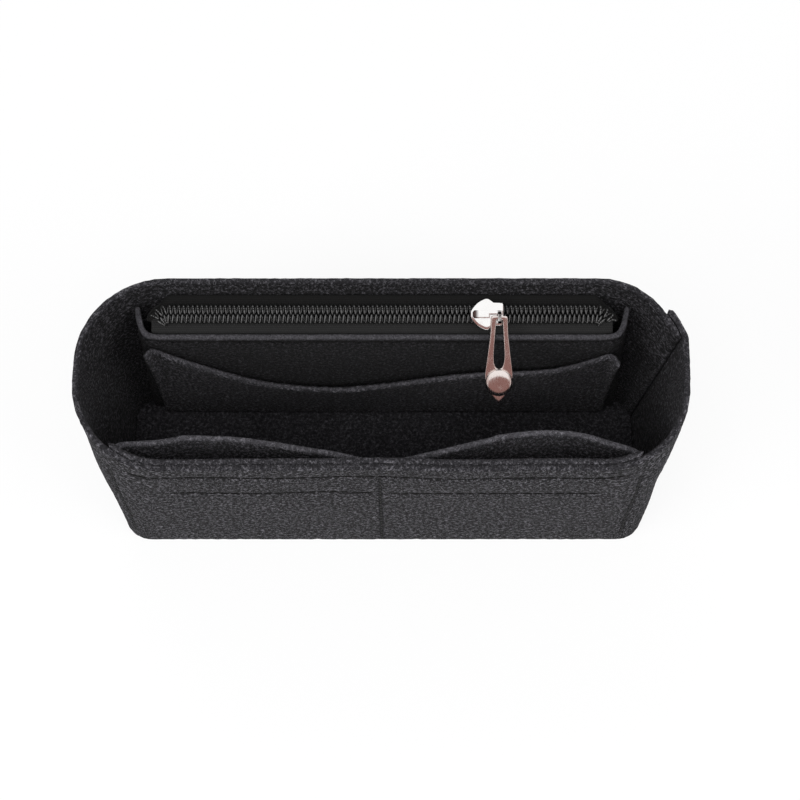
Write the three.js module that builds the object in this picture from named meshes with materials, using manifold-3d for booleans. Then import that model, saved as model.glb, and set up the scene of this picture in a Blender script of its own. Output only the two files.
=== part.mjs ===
// Felt purse organizer insert: a tapered tub of felt with two front pockets, and on the
// back wall a zipped pocket with a slip pocket in front of it.
// Millimetres, +X to the right, +Y to the back, +Z up. The origin lies on the underside,
// below the middle of the tub.
import * as THREE from 'three';
import { mergeVertices } from 'three/addons/utils/BufferGeometryUtils.js';
import Module from 'manifold-3d';

const wasm = await Module();
wasm.setup();

// Tub
const tubHeight = 85;
const rimWidth = 175;
const rimDepth = 58.5;
const rimCornerRadius = 26;
const floorWidth = 163.5;
const floorDepth = 48;
const floorCornerRadius = 8;
const arcStep = 10;

// Felt and the room between two layers
const wallThickness = 1.8;
const panelThickness = 1.8;
const facingThickness = 1.5;
const baseThickness = 2;
const layerGap = 0.3;

// Lap of the wall's two ends at the right rear corner, as plan angles in degrees
const lapOuterEndTurn = 38;
const lapInnerEndTurn = 17;
const lapInnerFadeTurn = 66;

// Front facing and front pockets
const facingDepth = 27;
const frontPocketDrop = 9;
const facingLeftTurn = 40;
const facingRightTurn = 30;
const frontPocketLeftTurn = 40;
const frontPocketRightTurn = 30;
const centreSeamX = -0.5;
const leftArchReach = 7.65;
const rightArchReach = 9.3;
const leftArchShares = { peak: 0.69, inner: 0.42, outer: 0.78 };
const rightArchShares = { peak: 0.63, inner: 0.65, outer: 0.65 };
const archSeamMargin = 5;
const archLeanPower = 1.5;
const frontColumns = 14;
const panelLevels = 5;

// Zip chain and slider
const zipRoll = 22;
const zipDrop = 8;
const chainEndInset = 23.5;
const coilPitch = 1.33;
const coilWidth = 2.15;
const coilThickness = 2.1;
const coilSeatGap = 0.25;
const coilToothDepth = 0.5;
const toothShares = [0.2, 0.35, 0.65, 0.8];
const chainHalfGap = 0.75;
const tapeThickness = 0.4;
const tapeDrop = 8;
const tapeOverhang = 0.5;
const runClearance = 0.3;
const sliderLength = 9.6;
const sliderWidth = 9.2;
const sliderPlate = 1;
const sliderBottomPlate = 0.9;
const sliderBevel = 0.4;
const sliderRestX = 30.3;
const sliderColumns = 44;
const sliderOutlineShares = [
  [-1, 0], [-0.96, 0.24], [-0.62, 0.68], [-0.22, 0.94], [0, 1], [0.2, 0.89], [0.4, 0.74], [0.65, 0.72],
  [0.93, 0.7], [1, 0.6],
];
const dividerLength = 2.4;
const dividerWidth = 0.8;
const dividerPlaceShare = -0.5;
const crownWidth = 2.3;
const crownHeight = 1.4;
const crownBevel = 0.35;
const crownLeftShare = 0.88;
const crownRightShare = 0.94;

// Pull
const pullThickness = 1.1;
const pullBevel = 0.25;
const pullBar = 1.2;
const pullPivotX = 3.5;
const pullPivotV = -1;
const pullPivotRise = 1.55;
const pullDroop = 12;
const pullTopWidth = 4.9;
const pullWidth = 8.1;
const pullStudAt = 18.7;
const pullLength = 25;
const slotTopWidth = 1.7;
const slotWidth = 3.1;
const slotEnd = 15;
const stapleWidth = 1;
const stapleThickness = 0.8;
const barClearance = 0.25;
const studDiameter = 7.4;
const studHeight = 2;
const studRim = 0.5;
const studShank = 2.4;
const studFoot = 4;
const studFootHeight = 0.5;
const studHoleSides = 16;
const studSides = 24;
const studRings = 6;

// Back pockets
const zipPanelTopInset = 16.1;
const zipPanelFootInset = 7.75;
const panelBendPower = 55;
const panelHalfColumns = 12;
const columnCrowdingPower = 2.6;
const slipTopInset = 3.9;
const slipFootInset = 5;
const slipReach = 2.6;
const slipOpenPower = 0.6;
const slipColumns = 28;
const slipEdgeShares = [
  [-1, 0.92], [-0.74, 0.7], [-0.55, 0.55], [-0.37, 0.49], [-0.19, 0.475], [0, 0.53],
  [0.2, 0.615], [0.42, 0.68], [0.68, 0.69], [0.82, 0.74], [1, 0.87],
];

// Stitching
const threadRadius = 0.25;
const threadSides = 6;
const upperRowLeftInset = 15.9;
const upperRowRightInset = 18.5;
const lowerRowLeftInset = 27.5;
const lowerRowRightInset = 25;
const lowerRowMargin = 1;
const rowGap = 2.5;
const frontSeamLeftInset = 10.1;
const frontSeamRightInset = 13.5;
const backSeamMargin = 0.6;
const seamDrop = 15;
const seamFoot = 8;
const zipRowMargin = 3;
const zipRowReachShare = 0.8;
const endRowMargin = 2.5;

// Colours and finishes
const feltCharcoal = 0x2b2b2f;
const feltInner = 0x222226;
const tapeBlack = 0x232327;
const coilBlack = 0x1a1a1d;
const threadBlack = 0x18181a;
const nickelSilver = 0xd9d4d0;

const feltRoughness = 0.95;
const tapeRoughness = 0.8;
const coilRoughness = 0.35;
const threadRoughness = 0.7;
const metalRoughness = 0.15;

function finish(color, roughness, metalness = 0) {
  return new THREE.MeshStandardMaterial({ color, roughness, metalness });
}

const feltMaterial = () => finish(feltCharcoal, feltRoughness);
const innerFeltMaterial = () => finish(feltInner, feltRoughness);
const tapeMaterial = () => finish(tapeBlack, tapeRoughness);
const coilMaterial = () => finish(coilBlack, coilRoughness);
const threadMaterial = () => finish(threadBlack, threadRoughness);
const metalMaterial = () => finish(nickelSilver, metalRoughness, 1);

const { lerp, degToRad } = THREE.MathUtils;

// Geometry helpers

function positionOnly(geometry) {
  const copy = geometry.clone();
  copy.deleteAttribute('normal');
  copy.deleteAttribute('uv');
  return mergeVertices(copy);
}

function signedVolume(positions, indices) {
  const corner = [0, 1, 2].map(() => new THREE.Vector3());
  let volume = 0;
  for (let i = 0; i < indices.length; i += 3) {
    corner.forEach((point, k) => point.fromArray(positions, indices[i + k] * 3));
    volume += corner[0].dot(corner[1].cross(corner[2]));
  }
  return volume;
}

function geometryFrom(positions, indices) {
  const outward = signedVolume(positions, indices) > 0 ? indices : indices.slice().reverse();
  const geometry = new THREE.BufferGeometry();
  geometry.setAttribute('position', new THREE.Float32BufferAttribute(positions, 3));
  geometry.setIndex(outward);
  geometry.computeVertexNormals();
  return geometry;
}

function toSolid(geometry) {
  const merged = positionOnly(geometry);
  return new wasm.Manifold(new wasm.Mesh({
    numProp: 3,
    vertProperties: new Float32Array(merged.attributes.position.array),
    triVerts: new Uint32Array(merged.index.array),
  }));
}

function fromSolid(solid) {
  const mesh = solid.getMesh();
  return geometryFrom(Array.from(mesh.vertProperties), Array.from(mesh.triVerts));
}

// A solid of an outline drawn in Y and Z, running along X from one place to another
function alongX(shape, from, to) {
  const turned = new THREE.Matrix4().makeBasis(
    new THREE.Vector3(0, 1, 0), new THREE.Vector3(0, 0, 1), new THREE.Vector3(1, 0, 0),
  );
  const geometry = new THREE.ExtrudeGeometry(shape, { depth: to - from, bevelEnabled: false });
  return geometry.applyMatrix4(turned).translate(from, 0, 0);
}

// A sheet of felt: rows of points on its middle surface, from the foot to the top edge,
// each thickened square to itself in plan
function sheetGeometry(rows, thickness) {
  const columns = rows[0].length;
  const positions = [];
  for (const side of [1, -1]) {
    for (const row of rows) {
      row.forEach((point, i) => {
        const before = row[Math.max(i - 1, 0)];
        const after = row[Math.min(i + 1, columns - 1)];
        const along = new THREE.Vector2(after.x - before.x, after.y - before.y).normalize();
        const shift = side * thickness / 2;
        positions.push(point.x - along.y * shift, point.y + along.x * shift, point.z);
      });
    }
  }
  const place = (side, level, column) => (side * rows.length + level) * columns + column;
  const indices = [];
  const quad = (a, b, c, d) => indices.push(a, b, c, a, c, d);
  const top = rows.length - 1;
  const last = columns - 1;
  for (let level = 0; level < top; level += 1) {
    for (let i = 0; i < last; i += 1) {
      quad(place(0, level, i), place(0, level, i + 1), place(0, level + 1, i + 1), place(0, level + 1, i));
      quad(place(1, level, i), place(1, level + 1, i), place(1, level + 1, i + 1), place(1, level, i + 1));
    }
    quad(place(0, level, 0), place(0, level + 1, 0), place(1, level + 1, 0), place(1, level, 0));
    quad(place(0, level, last), place(1, level, last), place(1, level + 1, last), place(0, level + 1, last));
  }
  for (let i = 0; i < last; i += 1) {
    quad(place(0, 0, i), place(1, 0, i), place(1, 0, i + 1), place(0, 0, i + 1));
    quad(place(0, top, i), place(0, top, i + 1), place(1, top, i + 1), place(1, top, i));
  }
  return geometryFrom(positions, indices);
}

function circlePoints(radius, sides, centreV = 0) {
  const turns = Array.from({ length: sides }, (_, k) => (k / sides) * Math.PI * 2);
  return turns.map((turn) => new THREE.Vector2(radius * Math.cos(turn), centreV + radius * Math.sin(turn)));
}

// Thread laid along a list of points
class StitchRoute extends THREE.Curve {
  constructor(points) {
    super();
    this.points = points;
  }

  getPoint(t) {
    const place = t * (this.points.length - 1);
    const index = Math.min(Math.floor(place), this.points.length - 2);
    return this.points[index].clone().lerp(this.points[index + 1], place - index);
  }

  getPointAt(u) {
    return this.getPoint(u);
  }

  getTangentAt(u) {
    return this.getTangent(u);
  }
}

function threadGeometry(points) {
  const section = new THREE.Shape(circlePoints(threadRadius, threadSides));
  const route = new StitchRoute(points);
  return new THREE.ExtrudeGeometry(section, { steps: points.length - 1, extrudePath: route });
}

// Shape of the tub

// Plan of the tub's outer face at one height: a rectangle with round corners
function tubPlan(z) {
  const share = z / tubHeight;
  const radius = lerp(floorCornerRadius, rimCornerRadius, share);
  return {
    radius,
    centreX: lerp(floorWidth, rimWidth, share) / 2 - radius,
    centreY: lerp(floorDepth, rimDepth, share) / 2 - radius,
  };
}

// A station is a place on a corner: its side in X, its side in Y, its plan angle in degrees
// and how far the wall is shifted inward there
function station(right, back, turn, shift = 0) {
  return { right, back, turn, shift };
}

function cornerStations(right, back, fromTurn, toTurn) {
  const steps = Math.max(1, Math.round(Math.abs(toTurn - fromTurn) / arcStep));
  const turns = Array.from({ length: steps + 1 }, (_, k) => lerp(fromTurn, toTurn, k / steps));
  return turns.map((turn) => station(right, back, turn));
}

function stationPoint({ right, back, turn, shift }, z, inset) {
  const { radius, centreX, centreY } = tubPlan(z);
  const reach = radius - inset - shift;
  const angle = degToRad(turn);
  return new THREE.Vector3(
    right * centreX + reach * Math.cos(angle), back * centreY + reach * Math.sin(angle), z,
  );
}

// Distance in Y from the middle plane to the wall's outer face, moved inward by an inset
function wallY(x, z, inset) {
  const { radius, centreX, centreY } = tubPlan(z);
  const reach = radius - inset;
  const past = Math.max(0, Math.abs(x) - centreX);
  return centreY + Math.sqrt(Math.max(0, reach * reach - past * past));
}

// Half of the lap's step: the two ends share it, one outward and one inward
const lapStep = (wallThickness + layerGap) / 2;

function lapOuterStations() {
  const flat = cornerStations(1, 1, lapOuterEndTurn, lapInnerEndTurn).map((s) => ({ ...s, shift: -lapStep }));
  const fade = [2 / 3, 1 / 3, 0].map((share) => (
    station(1, 1, lapInnerEndTurn * share, -lapStep * share * share)));
  return [...flat, ...fade];
}

function lapInnerStations() {
  const fade = [0, 1 / 3, 2 / 3].map((share) => (
    station(1, 1, lerp(lapInnerFadeTurn, lapOuterEndTurn, share), lapStep * share)));
  const flat = cornerStations(1, 1, lapOuterEndTurn, lapInnerEndTurn).map((s) => ({ ...s, shift: lapStep }));
  return [...fade, ...flat];
}

// Round the tub from the right side by the front and the left to the start of the lap
function roundTheTub() {
  return [
    ...cornerStations(1, -1, 0, -90),
    ...cornerStations(-1, -1, -90, -180),
    ...cornerStations(-1, 1, 180, 90),
    ...cornerStations(1, 1, 90, lapInnerFadeTurn),
  ];
}

const wallStations = [...lapOuterStations(), ...roundTheTub(), ...lapInnerStations().slice(1)];

function bandGeometry(stations, from, to, inset, thickness) {
  const rows = [from, to].map((z) => stations.map((s) => stationPoint(s, z, inset + thickness / 2)));
  return sheetGeometry(rows, thickness);
}

const outerWall = () => bandGeometry(wallStations, 0, tubHeight, 0, wallThickness);

// The base fills the wall's foot. It steps in for the inner end of the lap, then back to the wall
function basePanel() {
  const besideLap = cornerStations(1, 1, lapInnerEndTurn, 0).map((s) => (
    { ...s, shift: lapStep * s.turn / lapInnerEndTurn }));
  const stations = [...besideLap.slice(1), ...roundTheTub(), ...lapInnerStations().slice(1)];
  const points = stations.map((s) => stationPoint(s, 0, wallThickness + layerGap));
  return new THREE.ExtrudeGeometry(new THREE.Shape(points), { depth: baseThickness, bevelEnabled: false });
}

// Front facing and pockets

const frontPocketTop = tubHeight - frontPocketDrop;
const facingInset = wallThickness + layerGap;
const frontPanelInset = facingInset + facingThickness + layerGap;

function frontStations(leftTurn, rightTurn) {
  return [...cornerStations(-1, -1, -90 - leftTurn, -90), ...cornerStations(1, -1, -90, -90 + rightTurn)];
}

function frontFacing() {
  const stations = frontStations(facingLeftTurn, facingRightTurn);
  return bandGeometry(stations, tubHeight - facingDepth, tubHeight, facingInset, facingThickness);
}

// How far a pocket's mouth stands off the wall: flat beside the centre seam, then an arch to the end seam
function archShare(share, flatShare, { peak, inner, outer }) {
  const open = Math.max(0, share - flatShare) / (1 - flatShare);
  const skew = Math.log(0.5) / Math.log(peak);
  const wave = Math.sin(Math.PI * open ** skew);
  return Math.max(0, wave) ** (open < peak ? inner : outer);
}

function frontPocketRow(z) {
  const inset = frontPanelInset + panelThickness / 2;
  const { radius, centreX } = tubPlan(z);
  const lean = (z / frontPocketTop) ** archLeanPower;
  const steps = Array.from({ length: frontColumns }, (_, k) => (k + 1) / frontColumns);
  const shares = steps.map((step) => Math.sin(step * Math.PI / 2));
  const half = (side, endTurn, reach, archShares) => shares.map((share) => {
    const end = centreX + (radius - inset) * Math.sin(degToRad(endTurn));
    const x = lerp(centreSeamX, side * end, share);
    const flatShare = archSeamMargin / Math.abs(side * end - centreSeamX);
    return new THREE.Vector3(x, reach * lean * archShare(share, flatShare, archShares) - wallY(x, z, inset), z);
  });
  const left = half(-1, frontPocketLeftTurn, leftArchReach, leftArchShares).reverse();
  const middle = new THREE.Vector3(centreSeamX, -wallY(centreSeamX, z, inset), z);
  return [...left, middle, ...half(1, frontPocketRightTurn, rightArchReach, rightArchShares)];
}

function levelHeights(foot, top) {
  return Array.from({ length: panelLevels }, (_, k) => lerp(foot, top, k / (panelLevels - 1)));
}

const panelFoot = baseThickness + layerGap;

function frontPocketPanel() {
  return sheetGeometry(levelHeights(panelFoot, frontPocketTop).map(frontPocketRow), panelThickness);
}

// Zip group: its own frame has X along the chain, V across it and W square to its face,
// with W zero at the tape's upper face

const zipHeight = tubHeight - zipDrop;
const zipHalfLength = rimWidth / 2 - chainEndInset;
const rollCos = Math.cos(degToRad(zipRoll));
const rollSin = Math.sin(degToRad(zipRoll));
const channelTop = coilSeatGap + coilThickness + runClearance;
const sliderTop = channelTop + sliderPlate;
const sliderUnderside = -tapeThickness - runClearance - sliderBottomPlate;
const slotReach = sliderWidth / 2 + runClearance;

// The chain stands off the back wall by the slider's lower rear edge, the tape and clearances
const sliderRearReach = sliderWidth / 2 * rollCos - sliderUnderside * rollSin;
const zipY = wallY(0, zipHeight, wallThickness) - layerGap - tapeThickness - runClearance - sliderRearReach;

function zipToWorld(v, w) {
  return [zipY + v * rollCos - w * rollSin, zipHeight + v * rollSin + w * rollCos];
}

const [frontFoldY, frontFoldZ] = zipToWorld(-slotReach, -tapeThickness);
const [tapeCornerY, tapeCornerZ] = zipToWorld(-slotReach - tapeThickness, 0);
const zipPanelFaceY = tapeCornerY - layerGap;
const zipPanelTop = tapeCornerZ;
const zipPanelHalfTop = rimWidth / 2 - zipPanelTopInset;
const zipPanelHalfFoot = floorWidth / 2 - zipPanelFootInset;

// Middle surface of the zip pocket's panel: straight along the chain, bent back at its ends
function zipPanelY(x, z) {
  const share = z / zipPanelTop;
  const foot = wallY(0, 0, wallThickness) - layerGap - panelThickness / 2;
  const face = lerp(foot, zipPanelFaceY - panelThickness / 2, share);
  const half = lerp(zipPanelHalfFoot, zipPanelHalfTop, share);
  const wall = wallY(half + panelThickness / 2, z, wallThickness) - layerGap;
  const slope = (wall - face) * panelBendPower / half;
  const end = wall - (panelThickness / 2) / Math.sqrt(1 + slope * slope);
  return face + Math.max(0, end - face) * (Math.abs(x) / half) ** panelBendPower;
}

function endDenseShares(count) {
  const half = Array.from({ length: count }, (_, k) => 1 - (1 - (k + 1) / count) ** columnCrowdingPower);
  return [...half.map((share) => -share).reverse(), 0, ...half];
}

function zipPocketPanel() {
  const rows = levelHeights(panelFoot, zipPanelTop).map((z) => {
    const half = lerp(zipPanelHalfFoot, zipPanelHalfTop, z / zipPanelTop);
    const places = endDenseShares(panelHalfColumns).map((share) => share * half);
    return places.map((x) => new THREE.Vector3(x, zipPanelY(x, z), z));
  });
  return sheetGeometry(rows, panelThickness);
}

const slipHalfTop = zipPanelHalfTop - slipTopInset;
const slipHalfFoot = zipPanelHalfFoot - slipFootInset;

function slipHalf(z) {
  return lerp(slipHalfFoot, slipHalfTop, z / zipPanelTop);
}

// The slip pocket's panel lies on the zip pocket's panel and sags open along its wavy edge
function slipPanelY(x, z, edgeZ) {
  const half = slipHalf(z);
  const open = Math.cos((Math.PI / 2) * Math.min(1, Math.abs(x) / half)) ** slipOpenPower;
  const height = Math.min(1, z / edgeZ);
  const near = Math.abs(x) + panelThickness;
  const slope = (zipPanelY(near, z) - zipPanelY(near - layerGap, z)) / layerGap;
  const step = (panelThickness + layerGap) * Math.sqrt(1 + slope * slope);
  return zipPanelY(x, z) - step - slipReach * open * height * height;
}

function slipEdge() {
  const points = slipEdgeShares.map(([along, up]) => new THREE.Vector2(along * slipHalfTop, up * zipPanelTop));
  return new THREE.SplineCurve(points).getSpacedPoints(slipColumns);
}

function slipPocketPanel() {
  const edge = slipEdge();
  const rows = levelHeights(0, 1).map((share) => edge.map(({ x, y }) => {
    const z = lerp(panelFoot, y, share);
    const spread = lerp(slipHalfFoot / slipHalfTop, 1, z / zipPanelTop);
    return new THREE.Vector3(x * spread, slipPanelY(x * spread, z, y), z);
  }));
  return sheetGeometry(rows, panelThickness);
}

// Tapes: flat under the coil, then folded down behind the panel or down the back wall

function polygon(points) {
  return new THREE.Shape(points.map(([a, b]) => new THREE.Vector2(a, b)));
}

const tapeHalfLength = zipHalfLength + tapeOverhang;

function frontTape() {
  const panelLean = zipPanelY(0, frontFoldZ) - zipPanelY(0, frontFoldZ - tapeDrop);
  const drop = (y) => [y - panelLean, frontFoldZ - tapeDrop];
  const section = polygon([
    zipToWorld(-chainHalfGap, 0), zipToWorld(-slotReach - tapeThickness, 0),
    drop(tapeCornerY), drop(tapeCornerY + tapeThickness), [frontFoldY, frontFoldZ],
    zipToWorld(-chainHalfGap, -tapeThickness),
  ]);
  return alongX(section, -tapeHalfLength, tapeHalfLength);
}

function backTape() {
  const faceY = (z) => wallY(tapeHalfLength + tapeOverhang, z, wallThickness) - layerGap;
  const reach = (faceY(zipHeight) - zipY) / rollCos;
  const [, foldZ] = zipToWorld(reach, 0);
  const footZ = foldZ - tapeDrop;
  const section = polygon([
    zipToWorld(chainHalfGap, -tapeThickness), zipToWorld(reach - tapeThickness, -tapeThickness),
    [faceY(footZ) - tapeThickness, footZ], [faceY(footZ), footZ], [faceY(foldZ), foldZ],
    zipToWorld(chainHalfGap, 0),
  ]);
  return alongX(section, -tapeHalfLength, tapeHalfLength);
}

// One row of the coil: a bar whose inner edge carries the teeth
function coilRow(side) {
  const inner = side * chainHalfGap;
  const root = side * (chainHalfGap + coilToothDepth);
  const outer = side * (chainHalfGap + coilWidth);
  const count = Math.round(2 * zipHalfLength / coilPitch);
  const pitch = 2 * zipHalfLength / count;
  const outline = [[-zipHalfLength, outer], [-zipHalfLength, root]];
  for (let k = 0; k < count; k += 1) {
    const [rise, crest, crestEnd, fall] = toothShares.map((share) => -zipHalfLength + (k + share) * pitch);
    outline.push([rise, root], [crest, inner], [crestEnd, inner], [fall, root]);
  }
  outline.push([zipHalfLength, root], [zipHalfLength, outer]);
  const row = new THREE.ExtrudeGeometry(polygon(outline), { depth: coilThickness, bevelEnabled: false });
  return row.translate(0, 0, coilSeatGap);
}

// Slider

// Plan of the slider: a shield, pointed on the left and narrow on the right
function sliderOutline() {
  const half = sliderLength / 2 - sliderBevel;
  const wide = sliderWidth / 2 - sliderBevel;
  const side = (sign) => sliderOutlineShares.map(([along, across]) => (
    new THREE.Vector2(along * half, sign * across * wide)));
  const loop = [...side(-1), ...side(1).reverse()];
  return new THREE.Shape(new THREE.SplineCurve(loop).getPoints(sliderColumns).slice(0, -1));
}

function boxFrom(low, high) {
  const size = high.map((value, k) => value - low[k]);
  const box = new THREE.BoxGeometry(...size);
  return box.translate(...low.map((value, k) => value + size[k] / 2));
}

function sliderBody() {
  const bevel = { bevelEnabled: true, bevelThickness: sliderBevel, bevelSize: sliderBevel, bevelSegments: 3 };
  const depth = sliderTop - sliderUnderside - 2 * sliderBevel;
  const slug = new THREE.ExtrudeGeometry(sliderOutline(), { ...bevel, depth });
  slug.translate(0, 0, sliderUnderside + sliderBevel);
  const channelHalf = chainHalfGap + coilWidth + runClearance;
  const slotLow = -tapeThickness - runClearance;
  const channel = boxFrom([-sliderLength, -channelHalf, slotLow], [sliderLength, channelHalf, channelTop]);
  const slot = boxFrom([-sliderLength, -sliderWidth, slotLow], [sliderLength, sliderWidth, runClearance]);
  const divider = new THREE.CylinderGeometry(dividerWidth / 2, dividerWidth / 2, 1, 8);
  divider.scale(dividerLength / dividerWidth, sliderTop - sliderUnderside - sliderPlate, 1);
  divider.rotateX(Math.PI / 2);
  divider.translate(dividerPlaceShare * sliderLength / 2, 0, (sliderTop + sliderUnderside) / 2);
  return fromSolid(toSolid(slug).subtract(toSolid(channel)).subtract(toSolid(slot)).add(toSolid(divider)));
}

// The crown is a ridge along the slider, stepped back beside the pull, with a staple that
// straddles the pull's crossbar
const barRoom = Math.hypot(pullBar - pullBevel, pullThickness - pullBevel) / 2 + barClearance;
const pullPivotW = sliderTop + pullPivotRise;
const crownFoot = sliderTop + layerGap;

function crownRidge() {
  const half = crownWidth / 2 - crownBevel;
  const left = -sliderLength / 2 * crownLeftShare + crownBevel;
  const right = sliderLength / 2 * crownRightShare - crownBevel;
  const step = pullPivotX - pullTopWidth / 2 - runClearance - crownBevel;
  const stepV = pullPivotV + barRoom + crownBevel;
  const outline = polygon([[left, -half * 0.6], [left + half * 0.4, -half], [step, -half], [step, stepV],
    [right, stepV], [right, half], [left + half * 0.4, half], [left, half * 0.6]]);
  const geometry = new THREE.ExtrudeGeometry(outline, {
    depth: crownHeight - 2 * crownBevel, bevelEnabled: true, bevelThickness: crownBevel, bevelSize: crownBevel,
    bevelSegments: 2,
  });
  return geometry.translate(0, 0, crownFoot + crownBevel);
}

function crownStaple() {
  const inside = barRoom;
  const outside = barRoom + stapleThickness;
  const foot = crownFoot - pullPivotW;
  const arch = [[-inside, foot], [-outside, foot], [-outside, inside * 0.5], [-outside * 0.6, outside],
    [outside * 0.6, outside], [outside, inside * 0.5], [outside, foot], [inside, foot],
    [inside, inside * 0.45], [inside * 0.55, inside], [-inside * 0.55, inside], [-inside, inside * 0.45]];
  const staple = alongX(polygon(arch), pullPivotX - stapleWidth / 2, pullPivotX + stapleWidth / 2);
  return staple.translate(0, pullPivotV, pullPivotW);
}

function sliderCrown() {
  return fromSolid(toSolid(crownRidge()).add(toSolid(crownStaple())));
}

// Pull: drawn with its crossbar at the origin and its point towards -V

function pullOutline() {
  const top = pullTopWidth / 2 - pullBevel;
  const wide = pullWidth / 2 - pullBevel;
  const head = pullBar / 2 - pullBevel;
  const shape = new THREE.Shape();
  shape.moveTo(-top * 0.7, head);
  shape.lineTo(top * 0.7, head);
  shape.quadraticCurveTo(top, head, top, -head);
  shape.lineTo(lerp(top, wide, 0.4), -pullStudAt * 0.45);
  shape.quadraticCurveTo(lerp(top, wide, 0.75), -pullStudAt * 0.72, wide, -pullStudAt * 0.86);
  shape.quadraticCurveTo(wide * 1.08, -pullStudAt * 1.06, wide * 0.55, -lerp(pullStudAt, pullLength, 0.6));
  shape.lineTo(0, -pullLength + pullBevel);
  shape.lineTo(-wide * 0.55, -lerp(pullStudAt, pullLength, 0.6));
  shape.quadraticCurveTo(-wide * 1.08, -pullStudAt * 1.06, -wide, -pullStudAt * 0.86);
  shape.quadraticCurveTo(
    -lerp(top, wide, 0.75), -pullStudAt * 0.72, -lerp(top, wide, 0.4), -pullStudAt * 0.45,
  );
  shape.lineTo(-top, -head);
  shape.quadraticCurveTo(-top, head, -top * 0.7, head);
  return shape;
}

function slotOutline() {
  const start = -pullBar / 2 + pullBevel;
  const topHalf = slotTopWidth / 2 + pullBevel;
  const half = slotWidth / 2 + pullBevel;
  const path = new THREE.Path();
  path.moveTo(-topHalf, start);
  path.lineTo(-half, -slotEnd * 0.75);
  path.quadraticCurveTo(-half, -slotEnd - pullBevel, 0, -slotEnd - pullBevel);
  path.quadraticCurveTo(half, -slotEnd - pullBevel, half, -slotEnd * 0.75);
  path.lineTo(topHalf, start);
  path.lineTo(-topHalf, start);
  return path;
}

function pullTab() {
  const shape = pullOutline();
  const studHole = circlePoints(studShank / 2 + layerGap + pullBevel, studHoleSides, -pullStudAt);
  shape.holes.push(slotOutline(), new THREE.Path(studHole));
  const geometry = new THREE.ExtrudeGeometry(shape, {
    depth: pullThickness - 2 * pullBevel, bevelEnabled: true, bevelThickness: pullBevel, bevelSize: pullBevel,
    bevelSegments: 1, curveSegments: 6,
  });
  return geometry.translate(0, 0, -pullThickness / 2 + pullBevel);
}

// The stud: a domed head over the tab, a shank through it and a small foot under it
function pullStud() {
  const radius = studDiameter / 2;
  const seat = pullThickness / 2 + layerGap;
  const foot = -seat - studFootHeight;
  const steps = [[0, foot], [studFoot / 2, foot], [studFoot / 2, -seat], [studShank / 2, -seat],
    [studShank / 2, seat], [radius, seat]];
  const profile = steps.map(([x, y]) => new THREE.Vector2(x, y));
  for (let k = 0; k <= studRings; k += 1) {
    const angle = (k / studRings) * Math.PI / 2;
    const rise = seat + studRim + (studHeight - studRim) * Math.sin(angle);
    profile.push(new THREE.Vector2(radius * Math.cos(angle), rise));
  }
  profile[profile.length - 1].x = 0;
  return new THREE.LatheGeometry(profile, studSides).rotateX(Math.PI / 2).translate(0, -pullStudAt, 0);
}

// Stitching

const threadOff = layerGap + threadRadius;
const lowerRowHeight = tubHeight - facingDepth + lowerRowMargin;
const seamTop = tubHeight - seamDrop;
const backSeamHalf = zipPanelHalfTop + backSeamMargin;

function outsidePoint(s, z) {
  return stationPoint(s, z, -threadOff);
}

// A point on the front or back of the tub, at a distance from the middle
function facePoint(x, back, z) {
  return new THREE.Vector3(x, back * wallY(x, z, -threadOff), z);
}

// The row below the rim holds the facing, and follows the tub round its front corners
function frontUpperStitch() {
  const straight = tubPlan(frontPocketTop).centreX;
  const bend = (side, endInset) => [0, 0.25, 0.5, 0.75, 1].map((share) => (
    side * lerp(straight, rimWidth / 2 - endInset, share)));
  const row = [...bend(-1, upperRowLeftInset).reverse(), ...bend(1, upperRowRightInset)];
  return threadGeometry(row.map((x) => facePoint(x, -1, frontPocketTop)));
}

// The row along the facing's lower edge stops short of the centre seam on each side
function frontLowerStitch(side, endInset) {
  const ends = [centreSeamX + side * rowGap, side * (rimWidth / 2 - endInset)];
  return threadGeometry(ends.map((x) => facePoint(x, -1, lowerRowHeight)));
}

// An upright seam on the front or back, from above the foot to below the rim
function uprightSeam(x, back, foot = seamFoot, top = seamTop) {
  return threadGeometry(levelHeights(foot, top).map((z) => facePoint(x, back, z)));
}

function lapStitch() {
  const middle = station(1, 1, lerp(lapOuterEndTurn, lapInnerEndTurn, 0.5), -lapStep);
  return threadGeometry([tubHeight - zipRowMargin, panelFoot].map((z) => outsidePoint(middle, z)));
}

function backZipStitch() {
  const z = zipHeight - tapeDrop / 2;
  const end = tubPlan(z).centreX;
  return threadGeometry([-end, end].map((x) => facePoint(x, 1, z)));
}

function zipPanelStitch() {
  const z = zipPanelTop - zipRowMargin;
  const end = zipPanelHalfTop * zipRowReachShare;
  const y = zipPanelY(0, z) - panelThickness / 2 - threadOff;
  return threadGeometry([-end, end].map((x) => new THREE.Vector3(x, y, z)));
}

function slipEndStitch(side) {
  const edge = slipEdge();
  const end = side < 0 ? edge[1] : edge[edge.length - 2];
  const faceOff = panelThickness / 2 + threadOff;
  return threadGeometry([end.y - zipRowMargin, seamFoot].map((z) => {
    const x = side * (slipHalf(z) - endRowMargin);
    return new THREE.Vector3(x, slipPanelY(x, z, end.y) - faceOff, z);
  }));
}

// The base seam runs round the outside of the wall's foot, from the lap's outer end
function baseSeamStitch() {
  const stations = [...lapOuterStations(), ...roundTheTub()];
  return threadGeometry(stations.map((s) => outsidePoint(s, baseThickness / 2)));
}

// Assembly

function piece(name, geometry, material) {
  const mesh = new THREE.Mesh(geometry, material);
  mesh.name = name;
  return mesh;
}

const group = new THREE.Group();
const felt = feltMaterial();
const innerFelt = innerFeltMaterial();
const tape = tapeMaterial();
const coil = coilMaterial();
const thread = threadMaterial();
const metal = metalMaterial();

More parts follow.
